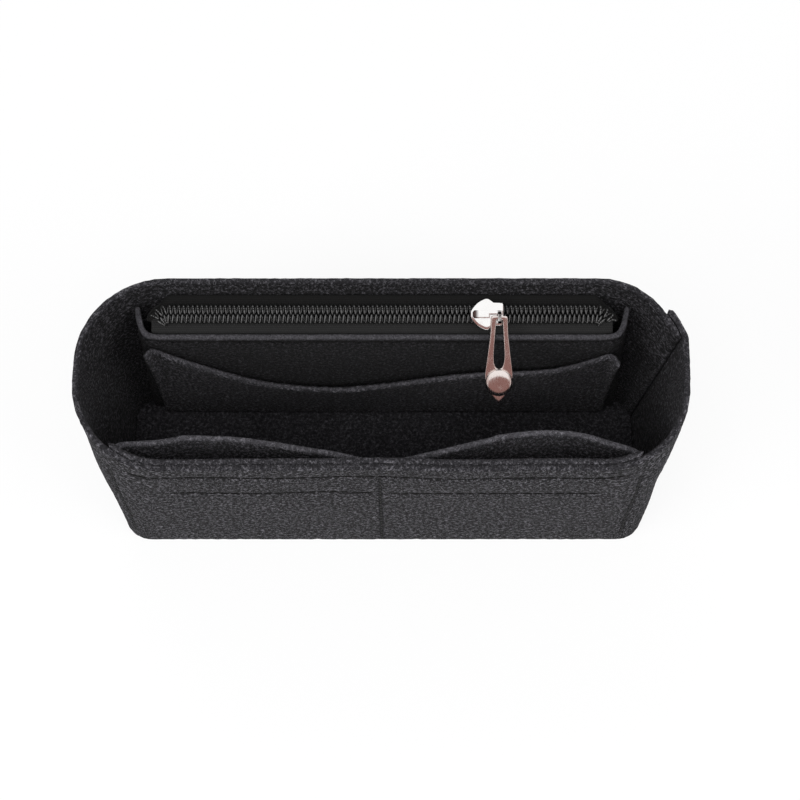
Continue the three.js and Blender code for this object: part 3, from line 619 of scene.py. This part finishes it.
# The facing is drawn a little thick, so that it closes the gap that its solid keeps from the wall.
facing_path = along_straights(corner(-1, -1, -130, -90) + corner(1, -1, -90, -60))
facing_inset = WALL + (GAP + FACING) / 2 + 0.03
facing_rows = np.stack([ring(facing_path, z, facing_inset) for z in crowded(58, TUB_HEIGHT, 2.2)])
sheet_piece(felt_sheet("felt_facing", flex(facing_rows), FACING + GAP - 0.06, outer_felt, edge=0.5, seed=21),
            "front_facing")

# The front pockets' mouths on each side of the seam: how far they arch, where along they peak, how round they
# are on both sides of the peak, and the corner's turn where they end. Beside the seam the felt stays flat.
POCKET_INSET = WALL + 2 * GAP + FACING + PANEL / 2
ARCHES = {-1: (7.65, 0.69, 0.42, 0.62, 40), 1: (9.3, 0.63, 0.65, 0.65, 30)}
ARCH_MARGIN = 5


def pocket_row(z, shares):
    radius, centre_x, _ = plan(z)
    lean = (z / POCKET_TOP) ** 1.5
    out = []
    for side in (-1, 1):
        reach, peak, inner, outer, turn = ARCHES[side]
        end = centre_x + (radius - POCKET_INSET) * math.sin(math.radians(turn))
        x = lerp(CENTRE_SEAM, side * end, shares)
        flat = ARCH_MARGIN / abs(side * end - CENTRE_SEAM)
        opened = np.clip((shares - flat) / (1 - flat), 0, 1)
        wave = np.maximum(0, np.sin(math.pi * opened ** (math.log(0.5) / math.log(peak))))
        arch = wave ** np.where(opened < peak, inner, outer)
        points = xyz(x, reach * lean * arch - wall_y(x, z, POCKET_INSET), z)
        out.append(points[::-1][:-1] if side < 0 else points)
    return np.concatenate(out)


pocket_shares = np.concatenate([[0, 0.004, 0.01, 0.02], np.linspace(0.035, 0.985, 58), [0.993, 0.997, 1]])
pocket_shares = np.sin(pocket_shares * math.pi / 2)
pocket_rows = np.stack([pocket_row(z, pocket_shares) for z in crowded(PANEL_FOOT, POCKET_TOP, 2.4)])
sheet_piece(felt_sheet("felt_front_pocket", flex(pocket_rows), PANEL, deep_felt_painted_light, seed=31, hung=True),
            "front_pocket_panel")


def zip_to_world(v, w):
    """Across the zip and up from it, to Y and Z."""
    return ZIP_Y + v * ZIP_COS - w * ZIP_SIN, ZIP_Z + v * ZIP_SIN + w * ZIP_COS


def world_to_zip(y, z):
    dy, dz = y - ZIP_Y, z - ZIP_Z
    return dy * ZIP_COS + dz * ZIP_SIN, dz * ZIP_COS - dy * ZIP_SIN


SLOT_REACH = 4.9
TAPE = 0.4
fold_z = zip_to_world(-SLOT_REACH, -TAPE)[1]
corner_y, PANEL_TOP = zip_to_world(-SLOT_REACH - TAPE, 0)
PANEL_HALF_TOP = RIM[0] / 2 - 16.1
PANEL_HALF_FOOT = FOOT[0] / 2 - 7.75
PANEL_ROW = PANEL_TOP - 3
END_TURN = 55  # the higher, the tighter the zip panel's ends turn to the wall


def zip_panel_y(x, z):
    share = z / PANEL_TOP
    foot = wall_y(0, 0, WALL) - GAP - PANEL / 2
    face = lerp(foot, corner_y - GAP - PANEL / 2, share)
    half = lerp(PANEL_HALF_FOOT, PANEL_HALF_TOP, share)
    wall = wall_y(half + PANEL / 2, z, WALL) - GAP
    slope = (wall - face) * END_TURN / half
    end = wall - (PANEL / 2) / np.sqrt(1 + slope * slope)
    return face + np.maximum(0, end - face) * (np.abs(x) / half) ** END_TURN


half = 1 - (1 - (np.arange(70) + 1) / 70) ** 2.6
shares = np.concatenate([-half[::-1], [0], half])
zip_rows = []
for z in crowded(PANEL_FOOT, PANEL_TOP, 2.4, (PANEL_ROW,)):
    x = shares * lerp(PANEL_HALF_FOOT, PANEL_HALF_TOP, z / PANEL_TOP)
    zip_rows.append(xyz(x, zip_panel_y(x, z), z))
zip_rows = np.array(zip_rows)
zip_seams = np.stack([np.full(zip_rows.shape[:2], FAR), zip_rows[..., 2] - PANEL_ROW], -1)
sheet_piece(felt_sheet("felt_zip_panel", zip_rows, PANEL, inner_felt_painted_shade, zip_seams, seed=41, hung=True),
            "zip_pocket_panel")

SLIP_HALF_TOP = PANEL_HALF_TOP - 3.9
SLIP_HALF_FOOT = PANEL_HALF_FOOT - 5
# The slip pocket's wavy mouth, as shares of its half width and of the panel's height
SLIP_EDGE = [(-1.02, 0.98), (-0.96, 0.905), (-0.88, 0.83), (-0.74, 0.7), (-0.55, 0.55), (-0.37, 0.49),
             (-0.19, 0.475), (0, 0.53), (0.2, 0.615), (0.42, 0.68), (0.68, 0.69), (0.82, 0.74), (1.025, 0.9)]
SLIP_SAG = 2.6


def spline(points, count):
    """A smooth curve through points, at even steps of its length."""
    points = np.array(points, float)
    ends = np.concatenate([points[:1], points, points[-1:]])
    t = np.linspace(0, 1, 40, endpoint=False)[:, None]
    out = []
    for p0, p1, p2, p3 in zip(ends, ends[1:], ends[2:], ends[3:]):
        a, b = (p2 - p0) * 0.5, (p3 - p1) * 0.5
        out += [*((2 * p1 - 2 * p2 + a + b) * t ** 3 + (-3 * p1 + 3 * p2 - 2 * a - b) * t ** 2 + a * t + p1)]
    return resampled(np.array(out + [points[-1]]), count)


def slip_panel_y(x, z, edge_z):
    half = lerp(SLIP_HALF_FOOT, SLIP_HALF_TOP, z / PANEL_TOP)
    open_share = np.maximum(0, np.cos(math.pi / 2 * np.minimum(1, np.abs(x) / half))) ** 0.6
    height = np.minimum(1, z / edge_z)
    near = np.abs(x) + PANEL
    slope = (zip_panel_y(near, z) - zip_panel_y(near - GAP, z)) / GAP
    step = (PANEL + GAP) * np.sqrt(1 + slope * slope)
    return zip_panel_y(x, z) - step - SLIP_SAG * open_share * height * height


slip_edge = spline([(a * SLIP_HALF_TOP, b * PANEL_TOP) for a, b in SLIP_EDGE], 110)
slip_edge = np.concatenate([spline(slip_edge[:2], 5)[:-1], slip_edge[1:-1], spline(slip_edge[-2:], 5)[1:]])
slip_rows = []
for share in crowded(0, 1, 0.035, edge=0.016):
    z = lerp(PANEL_FOOT, slip_edge[:, 1], share)
    x = slip_edge[:, 0] * lerp(SLIP_HALF_FOOT / SLIP_HALF_TOP, 1, z / PANEL_TOP)
    slip_rows.append(xyz(x, slip_panel_y(x, z, slip_edge[:, 1]), z))
slip_rows = np.array(slip_rows)
piece, _, _ = felt_sheet("felt_slip_panel", slip_rows, PANEL, deep_felt_painted_light, seed=51, hung=True)
along, up = lengths(slip_rows, 1) * MM, lengths(slip_rows, 0)[-1] * MM
slip_area = float(np.sum(np.diff(along.mean(axis=0)) * (up[1:] + up[:-1]) / 2))
sheet_piece((piece, (float(along[0, -1]), float(up.max())), slip_area), "slip_pocket_panel")

# The felt base: a flat pad cut to the inside of the wall's foot, with a soft edge
inner_end = [(*s[:3], s[3] - WALL * (1 - skived(s))) for s in lap_inner]
beside = [(1, 1, turn, inner_end[-1][3] * turn / LAP_INNER) for _, _, turn, _ in corner(1, 1, LAP_INNER, 0)[1:]]
path = along_straights(beside + round_the_tub + inner_end, 60, 20)
outline = ring(path, 0, WALL + 0.12)[:, :2]
spine = outline * (0.72, 0.02)
top = (0, 0.25, 0.5, 0.75, 0.9, 0.96, 0.985)
steps = [(s, BASE) for s in top] + [(0.997, BASE - 0.08), (1.0, BASE - 0.3), (1.0, 0.3), (0.997, 0.06)]
steps += [(s, 0.0) for s in (0.985, 0.96, 0.9, 0.5, 0)]
points = np.array([xyz(*lerp(spine, outline, s).T, z) for s, z in steps])
points[:len(top), :, 2] += 0.12 * waves(points[:len(top)], 9, 71)
faces = hoop_faces(*points.shape[:2])
points = points.reshape(-1, 3)
unmarked = np.full_like(points, FAR) * (1, 1, 0)
piece = mesh_object("felt_base", points, faces, base_felt_painted_light, [("lay", points * MM), ("seam", unmarked)])
x, y = outline.T * MM
area = abs(float(np.sum(x * np.roll(y, -1) - y * np.roll(x, -1)))) / 2
sheet_piece((piece, (float(np.ptp(x)), float(np.ptp(y))), area), "base_panel")


# Stitching

def threads(name, parts, material, node):
    """One piece from the tubes of a thread or wire."""
    faces, start = [], 0
    for points, part_faces, _ in parts:
        faces += [[i + start for i in face] for face in part_faces]
        start += len(points)
    points, lays = (np.concatenate([part[k] for part in parts]) for k in (0, 2))
    fit(mesh_object(name, points, faces, material, [("lay", lays * MM)]), "tub", node)


def stitches(name, line, out=(0.0, -1.0, 0.0), node=None):
    """Lockstitches along a line of points, on felt that faces out; each dips into it at its ends."""
    length, gap, radius = 2.6, 0.55, 0.26
    run, out = lengths(line, 0), np.broadcast_to(out, line.shape)
    count = max(1, int((run[-1] + gap) / (length + gap)))
    pitch = (run[-1] + gap) / count
    share = np.linspace(-1, 1, 9)
    rise = -0.16 - 0.42 * np.abs(share) ** 5
    parts = []
    for k in range(count):
        at = k * pitch + np.linspace(0, pitch - gap, 9)
        dipped = at_places(line, run, at) + at_places(out, run, at) * rise[:, None]
        parts.append(tube(dipped, radius * (1 - 0.25 * np.abs(share) ** 6), 7))
    threads("stitch_" + name, parts, thread, node or name + "_stitch")


# On the wall's outer face: a row has two x and one height, a seam one x and two heights
for name, xs, zs in (("front_upper", UPPER_ENDS[0], UPPER_ROW), ("front_lower_left", LOWER_ENDS[0], LOWER_ROW),
                     ("front_lower_right", LOWER_ENDS[1], LOWER_ROW), ("front_centre", CENTRE_SEAM, CENTRE_ENDS),
                     ("front_left", FRONT_SEAMS[0], SEAM_ENDS), ("front_right", FRONT_SEAMS[2], SEAM_ENDS),
                     ("back_left", BACK_SEAMS[0], SEAM_ENDS), ("back_right", BACK_SEAMS[1], SEAM_ENDS),
                     ("back_zip", (-61.5, 61.5), ZIP_ROW)):
    x, z = (np.linspace(*np.broadcast_to(ends, 2), 40 if np.ndim(zs) else 90) for ends in (xs, zs))
    line = xyz(x, (1 if name.startswith("back") else -1) * wall_y(x, z, 0), z)
    stitches(name, flex(line), outward(line))

lap_seam = (1, 1, (LAP_OUTER + LAP_INNER) / 2, -LAP_STEP)
lap_line = np.array([place(lap_seam, z, 0) for z in np.linspace(82, PANEL_FOOT, 40)])
stitches("lap", lap_line, outward(lap_line))

zip_x = np.linspace(-PANEL_HALF_TOP * 0.8, PANEL_HALF_TOP * 0.8, 60)
stitches("zip_panel", xyz(zip_x, zip_panel_y(zip_x, PANEL_ROW) - PANEL / 2, PANEL_ROW))

for side, name, edge_z in ((-1, "left", slip_edge[6, 1]), (1, "right", slip_edge[-7, 1])):
    z = np.linspace(8, edge_z - 3, 40)
    x = side * (lerp(SLIP_HALF_FOOT, SLIP_HALF_TOP, z / PANEL_TOP) - 2.5)
    stitches("slip_" + name, xyz(x, slip_panel_y(x, z, edge_z) - PANEL / 2, z))

foot_line = ring(along_straights(lap_outer + round_the_tub), 1, 0)
stitches("base", foot_line, outward(foot_line), "base_seam_stitch")


# Zip

CURL_FROM, CURL_RADIUS, CURL_HELD = 61.8, 3.6, 6.4
CHAIN_END = 66.5


def curled(x, v, w):
    """The zip's last few millimetres curl forward in its own plane, past where the slider reaches."""
    past = np.maximum(0, np.abs(x) - CURL_FROM)
    turn = past / CURL_RADIUS
    reach = CURL_RADIUS + v
    held = np.where(reach > CURL_HELD, CURL_HELD + (reach - CURL_HELD) * 0.25, reach)
    bent = np.where(past > 0, lerp(reach, held, np.minimum(1, past / 1.5)), reach)
    ahead = np.minimum(np.abs(x), CURL_FROM) + bent * np.sin(turn)
    across = np.where(past > 0, bent * np.cos(turn) - CURL_RADIUS, v)
    return np.sign(x) * ahead, across, w - 0.04 * past ** 2 - 0.8 * (reach - bent)


def tucked(x, v, w):
    """The front tape's ends only sink a little behind the panel."""
    return x, v, w - 0.03 * np.maximum(0, np.abs(x) - CURL_FROM) ** 2


def swept(name, section, x_places, material, thickness, bend):
    """A thin woven strip: a line of (y, z) points swept along X."""
    v, w = world_to_zip(*np.transpose(section))
    grid_x, grid_v = np.meshgrid(x_places, v)
    grid_x, grid_v, grid_w = bend(grid_x, grid_v, np.meshgrid(x_places, w)[1])
    rows = xyz(grid_x, *zip_to_world(grid_v, grid_w))
    normal, u, v, beside = mid_surface(rows)
    half = thickness / 2 * edge_round(np.minimum(beside, np.minimum(v, v[-1:] - v)), 0.2)
    first = np.arange(half.size).reshape(half.shape)
    faces = grid_faces(first) + grid_faces(first + half.size, flip=True)
    points = np.concatenate([(rows + side * normal * half[..., None]).reshape(-1, 3) for side in (1, -1)])
    lay = np.concatenate([np.stack([u, v, side * half], -1).reshape(-1, 3) for side in (1, -1)])
    piece = mesh_object(name, points, faces, material, [("lay", lay * MM)])
    width, depth = float(u[0, -1]) * MM, float(v[-1, half.shape[1] // 2]) * MM
    return piece, (width, depth), width * depth


def bezier(a, b, c, t):
    t = t[:, None]
    return (1 - t) ** 2 * a + 2 * t * (1 - t) * b + t * t * c


def tape_section(a, b, c, radius=0.5, step=0.8):
    """Close points along a tape's section, from a to b and, round a soft corner, to c."""
    a, b, c = np.array(a), np.array(b), np.array(c)
    start = b + (a - b) / np.linalg.norm(a - b) * radius
    end = b + (c - b) / np.linalg.norm(c - b) * radius
    line = np.array([a, *bezier(start, b, end, np.linspace(0, 1, 6)), c])
    run = lengths(line, 0)
    near_ends = [0.05, 0.2, run[-1] - 0.2, run[-1] - 0.05]
    return at_places(line, run, np.unique(np.concatenate([run, np.arange(0, run[-1], step), near_ends])))


LEG = 8  # each tape is turned down this far, behind the panel or along the wall
tape_x = crowded(-67, 67, 2.5, edge=0.25)
curl_x = np.linspace(CURL_FROM, CHAIN_END, 12)[1:]
long_tape_x = np.concatenate([-curl_x[::-1], crowded(-CURL_FROM, CURL_FROM, 2.5, edge=0), curl_x])
mid_w = -TAPE / 2
panel_lean = float(zip_panel_y(0, fold_z) - zip_panel_y(0, fold_z - LEG))
section = tape_section(zip_to_world(-0.75, mid_w), zip_to_world(-SLOT_REACH - TAPE / 2, mid_w),
                       (corner_y + TAPE / 2 - panel_lean, fold_z - LEG))
sheet_piece(swept("woven_tape_front", section, tape_x, tape, TAPE * 0.95, tucked),
            "zip_tape_front")

back_face = lambda z: float(wall_y(CHAIN_HALF + 1.0, z, WALL)) - GAP
back_reach = (back_face(ZIP_Z) - ZIP_Y) / ZIP_COS
back_fold_z = zip_to_world(back_reach, 0)[1]
section = tape_section(zip_to_world(0.75, mid_w), zip_to_world(back_reach - TAPE / 2, mid_w),
                       (back_face(back_fold_z - LEG) - TAPE / 2, back_fold_z - LEG))
sheet_piece(swept("woven_tape_back", section, long_tape_x, shaded_tape, TAPE * 0.95, curled),
            "zip_tape_back")


CHAIN_PITCH = 2 * CHAIN_HALF / round(2 * CHAIN_HALF / 1.33)
LOOPS = round(2 * CHAIN_END / CHAIN_PITCH) - 1


def along_zip(x, v, w):
    """Points on the curled zip, from places along, across and up."""
    x, v, w = curled(x, v, w)
    return xyz(x, *zip_to_world(v, w))


def coil_piece(name, node, side):
    """One row of the zip: a nylon wire wound in loops, whose heads face the other row."""
    wire, reach, height, steps = 0.3, 2.9, 2.1, 14
    turn = np.arange(LOOPS * steps + 1) / steps
    phase = turn * 2 * math.pi
    square = lambda wave: (1 + np.sign(wave) * np.abs(wave) ** 0.62) / 2
    across = lerp(0, reach - wire, square(np.cos(phase)))
    up = 0.25 + wire + (height - 2 * wire) * square(np.sin(phase))
    x = -CHAIN_END + (0.45 + 0.25 * side) * CHAIN_PITCH + CHAIN_PITCH * (turn + 0.05 * np.sin(phase))
    head = np.clip(-np.cos(phase), 0, 1) ** 4
    threads(name, [tube(along_zip(x, side * across, up), wire * (1 + 0.14 * head), 8)], coil, node)


def sewing_piece(name, side):
    """The thread that sews one coil row to its tape: a chain of stitches over the loops."""
    share = np.linspace(0, 1, 7)
    arch = np.sin(share * math.pi)
    parts = []
    for across in (1.35, 1.95):
        for k in range(LOOPS):
            x = -CHAIN_END + CHAIN_PITCH * (k + 0.55 + 0.86 * share)
            line = along_zip(x, np.full(7, side * across), 2.22 + 0.22 * arch)
            parts.append(tube(line, 0.13 * (0.75 + 0.25 * arch)))
    threads(name, parts, thread, None)


coil_piece("coil_front", "zip_coil_front", -1)
coil_piece("coil_back", "zip_coil_back", 1)
sewing_piece("coil_sewing_front", -1)
sewing_piece("coil_sewing_back", 1)


# Slider: a domed shield over a channel, with a bottom plate and a thin divider

SLIDER_X = 30.3
SHIELD_SIZE = (4.4, 4.2)
SHIELD = [(-1, 0), (-0.96, 0.24), (-0.62, 0.68), (-0.22, 0.94), (0, 1), (0.2, 0.89), (0.4, 0.74), (0.65, 0.72),
          (0.93, 0.7), (1, 0.6)]


def stack_of_rings(outline, steps):
    """A closed body from one outline, scaled and lifted step by step."""
    rings = np.array([xyz(*(outline * s).T, w) for s, w in steps])
    return rings.reshape(-1, 3), hoop_faces(*rings.shape[:2])


def box_body(x, v, low, high):
    faces = [(0, 1, 3, 2), (4, 6, 7, 5), (0, 4, 5, 1), (2, 3, 7, 6), (0, 2, 6, 4), (1, 5, 7, 3)]
    return np.array([*product((-x, x), (-v, v), (low, high))]), faces


def outward_faces(points, faces):
    volume = sum(np.dot(points[f[0]], np.cross(points[b], points[c])) for f in faces for b, c in zip(f[1:], f[2:]))
    return faces if volume > 0 else [list(f)[::-1] for f in faces]


def soften(piece, width, angle):
    bevel = piece.modifiers.new("soft_edges", "BEVEL")
    bevel.width = width * MM
    bevel.segments = 3
    bevel.limit_method = "ANGLE"
    bevel.angle_limit = math.radians(angle)


loop = np.array([(a, -b) for a, b in SHIELD] + SHIELD[:0:-1]) * SHIELD_SIZE
line = spline([*loop, loop[0]], 121)[:-1]
out = (np.roll(line, -1, axis=0) - np.roll(line, 1, axis=0))[:, ::-1] * (1, -1)
shield = line + out / np.linalg.norm(out, axis=1)[:, None] * 0.4
# Rings of the shield, as (share of the outline, height): its dome and its bottom plate
DOME = [(0.02, 3.74), (0.35, 3.73), (0.6, 3.71), (0.8, 3.67), (0.91, 3.6), (0.965, 3.47), (0.99, 3.2), (1.0, 2.8)]
PLATE = [(1.0, -1.05), (0.99, -1.3), (0.95, -1.5), (0.88, -1.6), (0.02, -1.6)]
turns = np.linspace(0, 2 * math.pi, 16, endpoint=False)
divider = stack_of_rings(np.column_stack([1.2 * np.cos(turns) - 2.4, 0.15 * np.sin(turns)]), [(1.0, -1.2), (1.0, 3.2)])
bodies = [stack_of_rings(shield, DOME + PLATE), box_body(9.6, 3.2, -0.7, 2.65), box_body(9.6, 9.2, -0.7, 0.3), divider]

# In the zip's own axes the two boxes are cut from the shield and the divider is added, then the edges softened.
objects = [mesh_object(f"shell_{k}", points, outward_faces(points, faces), nickel)
           for k, (points, faces) in enumerate(bodies)]
for other in objects[1:]:
    cut = objects[0].modifiers.new("cut", "BOOLEAN")
    cut.operation = "UNION" if other is objects[-1] else "DIFFERENCE"
    cut.solver = "EXACT"
    cut.object = other
soften(objects[0], 0.14, 40)
bpy.context.view_layer.update()
mesh = objects[0].evaluated_get(bpy.context.evaluated_depsgraph_get()).to_mesh()
x, v, w = np.array([vertex.co for vertex in mesh.vertices], float).T / MM
faces = [tuple(face.vertices) for face in mesh.polygons]
for piece in objects:
    bpy.data.objects.remove(piece)
shell = mesh_object("slider_shell", xyz(x + SLIDER_X, *zip_to_world(v, w)), faces, nickel)
shell.data.set_sharp_from_angle(angle=math.radians(32))
fit(shell, "slider", "slider_body")


# Pull: a cast drop with a long slot, crowned across its legs

PULL_AT = (33.8, 18.216, 81.447)
PULL_TILT = math.radians(34)
PULL_HALF_THICK, PULL_EDGE = 0.55, 3


def pull_part(name, local, faces, node):
    """A part of the pull, from points (across, along, up) in the pull's own axes."""
    across, along, up = local.T
    tilt_cos, tilt_sin = math.cos(PULL_TILT), math.sin(PULL_TILT)
    points = xyz(across, along * tilt_cos - up * tilt_sin, along * tilt_sin + up * tilt_cos) + PULL_AT
    piece = mesh_object(name, points, outward_faces(points - points.mean(axis=0), faces), pull_nickel_painted_pink)
    fit(piece, "pull", node)
    return piece


# Right halves of the pull's outline and slot: points (across, along), then curves (start, middle, end, count)
OUTLINE = ([(0.0, 0.6), (1.3, 0.6)],
           [((1.75, 0.6), (2.45, 0.6), (2.45, -0.45), 6), ((2.45, -0.45), (2.5, -4.5), (3.05, -8.4), 12),
            ((3.05, -8.4), (3.6, -13.2), (4.0, -16.1), 12), ((4.0, -16.1), (4.35, -19.6), (2.5, -22.5), 12),
            ((2.5, -22.5), (1.2, -24.5), (0.0, -25.3), 8)])
SLOT = ([(0.0, -0.62), (0.6, -0.62)],
        [((0.85, -0.75), (1.2, -5.5), (1.5, -10.5), 16), ((1.5, -10.5), (1.65, -14.9), (0.0, -15.05), 14)])


def mirrored_loop(line, curves, count=90):
    """A closed loop of evenly spaced points, from its right half."""
    for a, b, c, steps in curves:
        line = [*line, *bezier(*map(np.array, (a, b, c)), np.linspace(0, 1, steps, endpoint=False))]
    half = resampled(np.array([*line, curves[-1][2]]), count)
    return np.concatenate([half, half[-2:0:-1] * (-1, 1)])


outer, slot = mirrored_loop(*OUTLINE), mirrored_loop(*SLOT)
narrow = np.minimum(1, PULL_EDGE / np.linalg.norm(slot - outer, axis=1))[:, None]
across = 0.5 - 0.5 * np.cos(np.linspace(0, 1, 15) * math.pi)
rise = PULL_HALF_THICK * (1 - np.abs(2 * across - 1) ** 3.6) ** (1 / 2.6)
top = []
for s, height in zip(across, rise):
    share = s * narrow if s < 0.499 else 1 - (1 - s) * narrow if s > 0.501 else 0.5
    top.append(xyz(*lerp(outer, slot, share).T, height))
body = np.concatenate([top, np.array(top)[-2:0:-1] * (1, 1, -1)])
index = np.arange(body.shape[0] * body.shape[1]).reshape(body.shape[:2])
pull_part("pull_drop", body.reshape(-1, 3), grid_faces(np.pad(index, ((0, 1), (0, 1)), "wrap")), "pull_tab")


# Stud: a flat-topped dome on the pull's end, with a shank through it and a foot below

STUD_SEAT, STUD_FOOT = 0.85, 1.35
STUD_RADIUS, STUD_AT, STUD_LEAN = 3.95, 18.95, 0.6
STUD_SHARES = (0.99, 0.97, 0.94, 0.9, 0.84, 0.77, 0.68, 0.58, 0.44, 0.3, 0.2, 0.13, 0.005)
profile = [(0.02, -STUD_FOOT), (1.9, -STUD_FOOT), (2.0, 0.1 - STUD_FOOT), (2.0, -STUD_SEAT), (1.2, -STUD_SEAT),
           (1.2, STUD_SEAT), (STUD_RADIUS - 0.12, STUD_SEAT), (STUD_RADIUS, STUD_SEAT + 0.1),
           (STUD_RADIUS, STUD_SEAT + 0.3)]
for share in STUD_SHARES:
    dimple = 0.1 * math.exp(-(share / 0.12) ** 2)
    profile.append((STUD_RADIUS * share, STUD_SEAT + 0.38 + 1.15 * (1 - share ** 4.5) ** 0.5 - dimple))
turns = np.arange(48) / 48 * 2 * math.pi
rings = []
for r, h in profile:
    lean = STUD_LEAN * max(0, 1 - (r / STUD_RADIUS) ** 2) if h > STUD_SEAT else 0
    rings += [(r * math.cos(t), r * math.sin(t) - STUD_AT - lean, h) for t in turns]
piece = pull_part("stud", np.array(rings), hoop_faces(len(profile), 48), "pull_stud")
piece.data.set_sharp_from_angle(angle=math.radians(50))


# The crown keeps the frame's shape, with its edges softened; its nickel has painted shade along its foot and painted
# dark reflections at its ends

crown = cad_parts["slider_crown"]
corners = np.array([crown.matrix_world @ v.co for v in crown.data.vertices]) / MM
crown_height = corners[:, 2] * ZIP_COS - corners[:, 1] * ZIP_SIN
ends = (corners[:, 0].min(), corners[:, 0].max(), crown_height.min())
crown.data.materials.clear()
crown.data.materials.append(nickel_material("nickel_painted_dark", NICKEL, 0.06, 0.14, ends))
soften(crown, 0.16, 30)


# Floor, backdrop and light

def emission(n, colour, kind="Emission", strength=1.0):
    return n.fed(kind, 0, {"Color": (*colour, 1), "Strength": strength})


def floor_material():
    """A pale floor that shows as white, apart from the object's shadow, with painted shade under the foot."""
    n = Nodes("floor")
    spot = n.object_place()
    past = [n.math("MAXIMUM", n.math("SUBTRACT", n.math("ABSOLUTE", place), (reach / 2 - FOOT[2]) * MM), 0.0)
            for place, reach in zip(n.split(spot), FOOT[:2])]
    from_foot = n.math("SQRT", n.math("ADD", *(n.times(p, p) for p in past)))
    open_floor = n.ramp(from_foot, (FOOT[2] - 0.6) * MM, (FOOT[2] - 0.2) * MM)
    pale = n.mix(n.noise(spot, 6, 2), grey(0.9), grey(0.92))
    # Painted shade: under the tub's foot the floor is near black and does not show as white
    n.set(Base_Color=n.mix(open_floor, grey(0.01), pale), Roughness=0.9, Specular_IOR_Level=0.1)
    white = n.times(n.times(n.background_rays(), 0.86), open_floor)
    plain = n.tree.nodes["Principled BSDF"].outputs[0]
    n.surface(n.fed("MixShader", 0, {0: white, 1: plain, 2: emission(n, (1, 1, 1))}))
    return n.material


def staged(name, width, height, z, material):
    """A flat rectangle, for the floor or a card."""
    points = [(x * width / 2, y * height / 2, z) for x, y in ((-1, -1), (1, -1), (1, 1), (-1, 1))]
    piece = mesh_object(name, points, [(0, 1, 2, 3)], material)
    return piece


staged("floor", 6000, 6000, -0.1, floor_material())

scene.world = bpy.data.worlds.new("world")
n = Nodes("world", scene.world)
ambient = emission(n, (0.97, 0.98, 1.0), "Background", 0.3)
seen = emission(n, (1, 1, 1), "Background")
n.surface(n.fed("MixShader", 0, {0: n.background_rays(), 1: ambient, 2: seen}), "World Output")


# Coloured cards that only polished metal sees, turned towards the pull
SIDE_TONE = (0.6, 0.5, 0.48)
for name, location, width, height, tone in (("front_card", (0.05, -1.1, 0.98), 2600, 960, (0.27, 0.15, 0.135)),
                                            ("side_card", (1.6, -0.3, 0.85), 1500, 1100, SIDE_TONE),
                                            ("left_card", (-1.6, -0.3, 0.85), 1500, 1100, SIDE_TONE)):
    n = Nodes(name)
    n.surface(emission(n, tone))
    piece = staged(name, width, height, 0, n.material)
    aimed(piece, location, (0.03, 0.01, 0.08))
    piece.visible_camera = piece.visible_diffuse = piece.visible_shadow = piece.visible_transmission = False

# Square lamps that polished metal doesn't mirror: it mirrors the cards and the white room
for name, location, size, watts in (("key", (-1.0, -0.6, 0.85), 0.8, 9), ("top", (-0.05, -0.45, 1.27), 0.6, 7),
                                    ("fill", (1.0, -0.5, 0.9), 0.8, 7.5), ("back", (-0.2, 0.9, 1.0), 0.8, 3)):
    lamp = placed(name, bpy.data.lights.new(name, "AREA"))
    lamp.data.shape = "SQUARE"
    lamp.data.size = size
    lamp.data.energy = watts
    aimed(lamp, location, (0, 0, 0.04))
    lamp.visible_glossy = False
